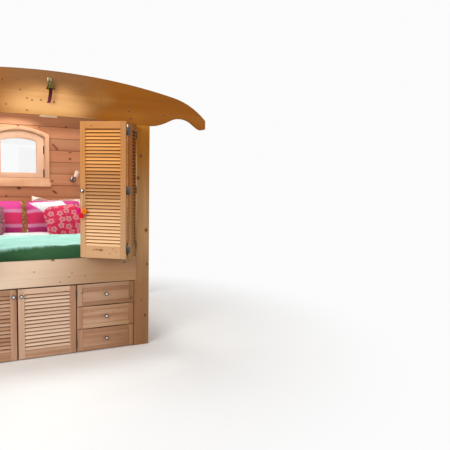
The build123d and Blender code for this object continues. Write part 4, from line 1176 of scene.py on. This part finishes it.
# Quilt: one path rises in front of the mattress, rolls over its edge and runs back along the top; it is
# carried across the bed with slow waves off the surface, and the roll swells a little.
def quiltSheet():
    q = quiltPlan
    r, t = q["roll"], q["thick"] / 2
    top, y0 = bedTop + t, q["front"] + t
    rise = np.linspace(top - q["drop"] + t, top - r, 10)
    turn = np.linspace(0, np.pi / 2, 14)[1:]
    back = np.linspace(y0 + r, q["end"], 62)[1:]
    up, along = np.ones(len(rise)), np.ones(len(back))
    y = np.concatenate([y0 * up, y0 + r - r * np.cos(turn), back])
    z = np.concatenate([rise, top - r + r * np.sin(turn), top * along])
    outY = np.concatenate([-up, -np.cos(turn), 0 * along])
    outZ = np.concatenate([0 * up, np.sin(turn), along])
    run = np.concatenate([[0], np.cumsum(np.hypot(np.diff(y), np.diff(z)))])
    x, run = np.meshgrid(np.linspace(-q["half"], q["half"], 96), run, indexing="ij")
    wave = 0.0030 * np.sin(9 * x + 3.1 * np.sin(4.1 * run + 0.6)) * np.sin(5.3 * run + 1.1)
    wave += 0.0022 * np.sin(21 * x + 7.7 * run + 2.0 * np.sin(6 * x))
    wave += 0.0012 * np.sin(47 * x - 13 * run)
    swell = 0.004 * np.exp(-((run - 0.16) / 0.05) ** 2)
    off = np.clip(wave + swell, -0.002, 0.008)
    edge = np.clip((np.abs(x) - (q["half"] - 0.02)) / 0.02, 0, 1)  # the side edges are drawn down
    points = np.stack([x, y + outY * off, z + outZ * (off - 0.004 * edge ** 2)], -1)
    return {"points": points, "faces": [gridFaces(*x.shape)], "cloth": np.stack([x, run, 0 * x], -1)}


quilt = makeMesh("turnedQuilt", [quiltSheet()], smoothAngle=180)
thick = quilt.modifiers.new("wadding", "SOLIDIFY")
thick.thickness = quiltPlan["thick"] * quiltPlan["wadding"]
thick.offset = 0.0
roundOff(quilt)
finishPiece(quilt, quiltCloth, "quilt_cloth", "quilt")
print("bedding ready")


# A plain finish: slow clouds between two near colours and fine grain in the height. If given, another
# colour stands below a low height and fades out upwards by a high one.
def plainFinish(name, colour, shade, rough, scale=30.0, footFade=None, **sockets):
    k = Finish(name)
    place = k.objectPlace()
    cloud = k.noise(place, scale, 4.0)
    tint = k.mix(k.steps(cloud, 0.3, 0.75), colour, shade)
    if footFade:
        low, high, footColour = footFade
        tint = k.mix(k.steps(k.split(place)[2], low, high), footColour, tint)
    fine = k.noise(place, scale * 18, 2.0)
    return k.finish(tint, k.line(cloud, 0.15, rough), k.bump(fine, 0.15, 0.0005), **sockets)


shadeFinish = plainFinish("lampShade", (0.82, 0.58, 0.42), (0.76, 0.50, 0.35), 0.45)
catchFinish = plainFinish("catchFinish", (0.62, 0.44, 0.27), (0.54, 0.36, 0.20), 0.4)
# The strap turns a lighter maroon towards its foot.
pullLeather = plainFinish("pullLeather", (0.060, 0.010, 0.012), (0.035, 0.007, 0.008), 0.6, 60.0,
                          (2.0, 2.09, (0.17, 0.020, 0.045)), Specular_IOR_Level=0.12)
lampPlan = {"x": 0.583, "height": 1.422, "rose": 0.034, "edge": 0.004, "depth": 0.020, "arm": 0.005,
            "reach": 0.058, "ball": 0.009, "neck": 0.030, "shade": 0.028, "long": 0.072, "turn": 22.0,
            "taper": 0.8, "wall": 0.0022, "bulb": (0.012, 0.022, 0.030)}


# Half an oval from its foot to its crown, for turning: the radius is a sine and the height a cosine.
def ovalProfile(radius, half, middle=0.0):
    t = np.linspace(0, np.pi, 12)
    profile = np.stack([radius * np.sin(t), middle - half * np.cos(t)], 1)
    profile[[0, -1], 0] = 0.0
    return profile


# A plain rod, for turning.
def rodProfile(radius, length):
    return [(0, 0), (radius, 0), (radius, length), (0, length)]


# Lamp: a domed rose and arm on the wall, a ball joint with its neck, and a thin cone out along the outside
# and back along the inside.
def lampParts(side):
    p = lampPlan
    t = np.linspace(0, np.pi / 2, 12)
    dome = np.stack([p["rose"] * np.cos(t * 0.98), p["edge"] + (p["depth"] - p["edge"]) * np.sin(t)], 1)
    rose = np.concatenate([[(0, 0), (p["rose"], 0)], dome])
    rose[-1] = (0, p["depth"])
    face = Matrix.Translation((side * p["x"], wallY, p["height"])) @ towardsRoom
    joint = (Matrix.Translation((side * p["x"], wallY - p["depth"] - p["reach"], p["height"]))
             @ Matrix.Rotation(math.radians(side * p["turn"]), 4, "Y"))
    bracket = [
        turnedPart(rose, 40, face),
        turnedPart(rodProfile(p["arm"], p["reach"]), 20, face @ Matrix.Translation((0, 0, p["depth"]))),
        turnedPart(ovalProfile(p["ball"], p["ball"]), 24, joint),
        turnedPart(rodProfile(p["arm"], p["neck"]), 20, joint)]
    low, high, wall = p["shade"] * p["taper"], p["shade"], p["wall"]
    cone = [(0, 0), (low - 0.003, 0), (low, 0.003), (high, p["long"]), (high - wall, p["long"]),
            (low - wall, wall), (0, wall)]
    base = joint @ Matrix.Translation((0, 0, p["neck"] + 0.0003))
    return bracket, [turnedPart(cone, 48, base), turnedPart(ovalProfile(*p["bulb"]), 24, base)]


rightBracket, rightShade = lampParts(1)
leftBracket, leftShade = lampParts(-1)
brackets = makeMesh("lampBrackets", rightBracket + leftBracket, smoothAngle=40, merge=1e-6)
finishPiece(brackets, chrome, "chrome", "lamp_brackets")
shades = makeMesh("lampShades", rightShade + leftShade, smoothAngle=40, merge=1e-6)
finishPiece(shades, shadeFinish, "lamp_shade", "lamp_shades")

bevelledPiece("bellBracket", "bell_bracket", bracketBrass, "boss_metal", 0.0006)
bellPlan = {"place": (0.012, bulkheadY - 0.044, 2.111), "high": 0.058, "radius": 0.035, "wall": 0.003}


# Bell: its outer line falls from the crown, waists and flares to the lip; the inner line follows it inside.
def bellPart():
    b = bellPlan
    share = np.array([(0, 1.0), (0.3, 1.0), (0.44, 0.95), (0.5, 0.85), (0.53, 0.7), (0.58, 0.55),
                      (0.67, 0.38), (0.8, 0.22), (0.93, 0.08), (1.0, 0.02), (0.99, 0.0)])
    outer = share * (b["radius"], b["high"])
    radius, height = outer.T
    inner = np.stack([np.maximum(radius - b["wall"], 0), np.minimum(height, b["high"] - b["wall"])], 1)
    return turnedPart(np.concatenate([outer, inner[::-1]]), 64, Matrix.Translation(b["place"]))


bell = makeMesh("hangingBell", [bellPart()], smoothAngle=50, merge=1e-6)
finishPiece(bell, bellBrass, "boss_metal", "hanging_bell")
bevelledPiece("bellPull", "bell_pull", pullLeather, "strap_leather", 0.0009)
bevelledPiece("catchBatten", "catch_batten", catchFinish, "catch_plastic", 0.002)


# Pom-pom: tufts of yarn on a spiral of directions over a ball; each tuft is a thin cone from the heart to
# the rim.
def pomPom(centre, radius, count, seed):
    random = np.random.default_rng(seed)
    i = np.arange(count) + 0.5
    high = 1 - 2 * i / count
    turn = i * math.pi * (3 - 5 ** 0.5)
    flat = np.sqrt(1 - high ** 2)
    way = np.stack([flat * np.cos(turn), flat * np.sin(turn), high], 1)
    way += random.normal(0, 0.06, way.shape)
    way /= np.linalg.norm(way, axis=1, keepdims=True)
    side = np.cross(way, [0.31, 0.77, 0.56])
    side /= np.linalg.norm(side, axis=1, keepdims=True)
    other = np.cross(way, side)
    reach = radius * random.uniform(0.93, 1.0, count)
    along = np.array([0.30, 0.62, 0.88, 1.0])
    wide = np.array([0.040, 0.085, 0.080, 0.0]) * radius
    angle = np.linspace(0, 2 * np.pi, 5, endpoint=False)[:, None]
    ring = side[:, None, None] * np.cos(angle) + other[:, None, None] * np.sin(angle)
    spine = way[:, None, None] * (reach[:, None] * along)[:, :, None, None]
    points = centre + spine + ring * wide[:, None, None]
    faces = gridFaces(len(along), len(angle), closed=True)
    return {"points": points.reshape(-1, 3), "faces": [repeated(faces, count, len(along) * len(angle))]}


cordPlan = {"radius": 0.0016, "drop": 0.168, "bend": 0.030, "face": 0.008, "stand": 0.029, "length": 0.1696,
            "ball": 0.022, "gap": 0.0003, "tufts": 420}
c = cordPlan
cordFrame = leafKnobPlace("right")
cordTop = -knobPlan["stem"]
route = [cordFrame @ Vector(point) for point in ((0, c["face"], cordTop), (0, c["face"], cordTop - c["bend"]),
                                                 (0, c["stand"], cordTop - c["drop"]))]
curve = bpy.data.curves.new("pompomCord", "CURVE")
curve.dimensions = "3D"
spline = curve.splines.new("NURBS")
spline.points.add(len(route) - 1)
for point, place in zip(spline.points, route):
    point.co = (*place, 1)
spline.order_u = 3
spline.use_endpoint_u = True
curve.bevel_depth = c["radius"]
curve.bevel_resolution = 4
curve.resolution_u = 24
curve.use_fill_caps = True
cord = addObject("pompomCord", curve)
yarnColours = {"magenta": ((0.95, 0.015, 0.30), (0.80, 0.01, 0.22)),
               "orange": ((1.0, 0.36, 0.012), (0.92, 0.24, 0.01)),
               "red": ((0.95, 0.015, 0.045), (0.78, 0.01, 0.03))}
yarn = {key: plainFinish("yarn" + key.capitalize(), *pair, 0.9, 220.0,
                         Sheen_Weight=0.05, Sheen_Roughness=0.5, Specular_IOR_Level=0.15)
        for key, pair in yarnColours.items()}
cordYarn = plainFinish("cordYarn", (0.72, 0.66, 0.60), (0.60, 0.52, 0.46), 0.9, 300.0)

# The red ball hangs from the cord's end, and the other two rest on it, one on each side of the cord.
aside = c["ball"] + c["radius"] + c["gap"]
lowZ = cordTop - c["drop"] - c["ball"] - c["gap"]
highZ = lowZ + math.sqrt((2 * c["ball"] + c["gap"]) ** 2 - aside ** 2)
slope = (c["stand"] - c["face"]) / (c["drop"] - c["bend"])
stand = c["stand"] - slope * (highZ - lowZ - c["ball"])
balls = {"orange": (-aside, stand, highZ), "magenta": (aside, stand, highZ), "red": (0, c["stand"], lowZ)}
for i, (key, place) in enumerate(balls.items()):
    part = pomPom(np.array(cordFrame @ Vector(place)), c["ball"], c["tufts"], 90 + i)
    ball = makeMesh("pompom" + key.capitalize(), [part], smoothAngle=60)
    finishPiece(ball, yarn[key], "tassel_yarn", "pompoms")
finishPiece(cord, cordYarn, "tassel_yarn", "pompom_cord")
print("lamps, bell, catch and pom-poms ready")


# The floor is a pale disc that turns to plain white for the camera away from the piece, so no edge shows.
def stagePlane():
    turn = np.linspace(0, 2 * np.pi, 64, endpoint=False)
    rings = np.array([0.001, 2, 4, 6, 9, 14, 30])[:, None]
    points = np.stack([rings * np.cos(turn), rings * np.sin(turn), -0.0005 + 0 * rings * turn], -1)
    faces = gridFaces(len(rings), len(turn), closed=True)
    floor = makeMesh("studioFloor", [{"points": points, "faces": [faces]}], fixNormals=False)
    k = Finish("studioFloor")
    place = k.objectPlace()
    pale = k.surface(k.mix(k.noise(place, 3.0), (0.90, 0.89, 0.88), (0.94, 0.93, 0.92)), 0.9)
    white = k.node("Emission", {0: (0.97, 0.97, 0.97)})[0]
    away = k.steps(k.vector("LENGTH", place), 1.0, 3.4)
    seen = k.node("LightPath")["Is Camera Ray"]
    k.node("OutputMaterial", {0: k.node("MixShader", {0: k.times(seen, away), 1: pale, 2: white})[0]})
    floor.data.materials.append(k.owner)


# The sky lights the piece with one pale colour and shows another to the camera, in gloss and through glass.
def studioSky():
    world = bpy.data.worlds.new("studio")
    scene.world = world
    k = NodeKit(world)
    ray = k.node("LightPath")
    seen = k.math("MAXIMUM", ray["Is Camera Ray"], ray["Is Glossy Ray"])
    seen = k.math("MAXIMUM", seen, ray["Is Transmission Ray"])
    lightSky = k.node("Background", {0: (1.0, 0.985, 0.96), 1: 0.50})[0]
    seenSky = k.node("Background", {0: (0.97, 0.97, 0.97), 1: 1.0})[0]
    k.node("OutputWorld", {0: k.node("MixShader", {0: seen, 1: lightSky, 2: seenSky})[0]})


# A rectangular lamp that faces its target.
def softLamp(name, place, target, size, power, colour):
    light = bpy.data.lights.new(name, "AREA")
    light.shape = "RECTANGLE"
    light.size, light.size_y = size
    light.energy = power
    light.color = colour
    lamp = addObject(name, light)
    lamp.location = place
    lamp.rotation_euler = (Vector(target) - Vector(place)).to_track_quat("-Z", "Y").to_euler()


stagePlane()
studioSky()
softLamp("keyLight", (-2.3, -3.3, 2.2), (-0.1, -0.8, 0.9), (1.8, 1.5), 85, (1.0, 0.98, 0.96))
softLamp("fillLight", (3.4, -3.6, 2.6), (0.3, -0.6, 1.1), (2.4, 2.0), 30, (1.0, 0.97, 0.92))
softLamp("bedLight", (-0.2, 0.55, 2.9), (0.0, 0.35, 0.9), (1.4, 0.9), 40, (0.97, 1.0, 1.0))

cameraPlan = {"place": (-0.70, -5.053, 1.425), "right": (0.88277, -0.46948, 0.01839),
              "down": (-0.02246, -0.08125, -0.99644), "forward": (0.4693, 0.8792, -0.0823),
              "lens": 41.574, "sensor": 36.0}
camera = bpy.data.cameras.new("photoCamera")
camera.lens = cameraPlan["lens"]
camera.sensor_width = cameraPlan["sensor"]
camera.clip_end = 60
viewer = addObject("photoCamera", camera)
right, down, ahead = (Vector(cameraPlan[key]) for key in ("right", "down", "forward"))
turn = Matrix((right, -down, -ahead)).transposed().to_4x4()
viewer.matrix_world = Matrix.Translation(cameraPlan["place"]) @ turn
scene.camera = viewer
scene.view_settings.view_transform = "Standard"

print("stage, light and camera ready")
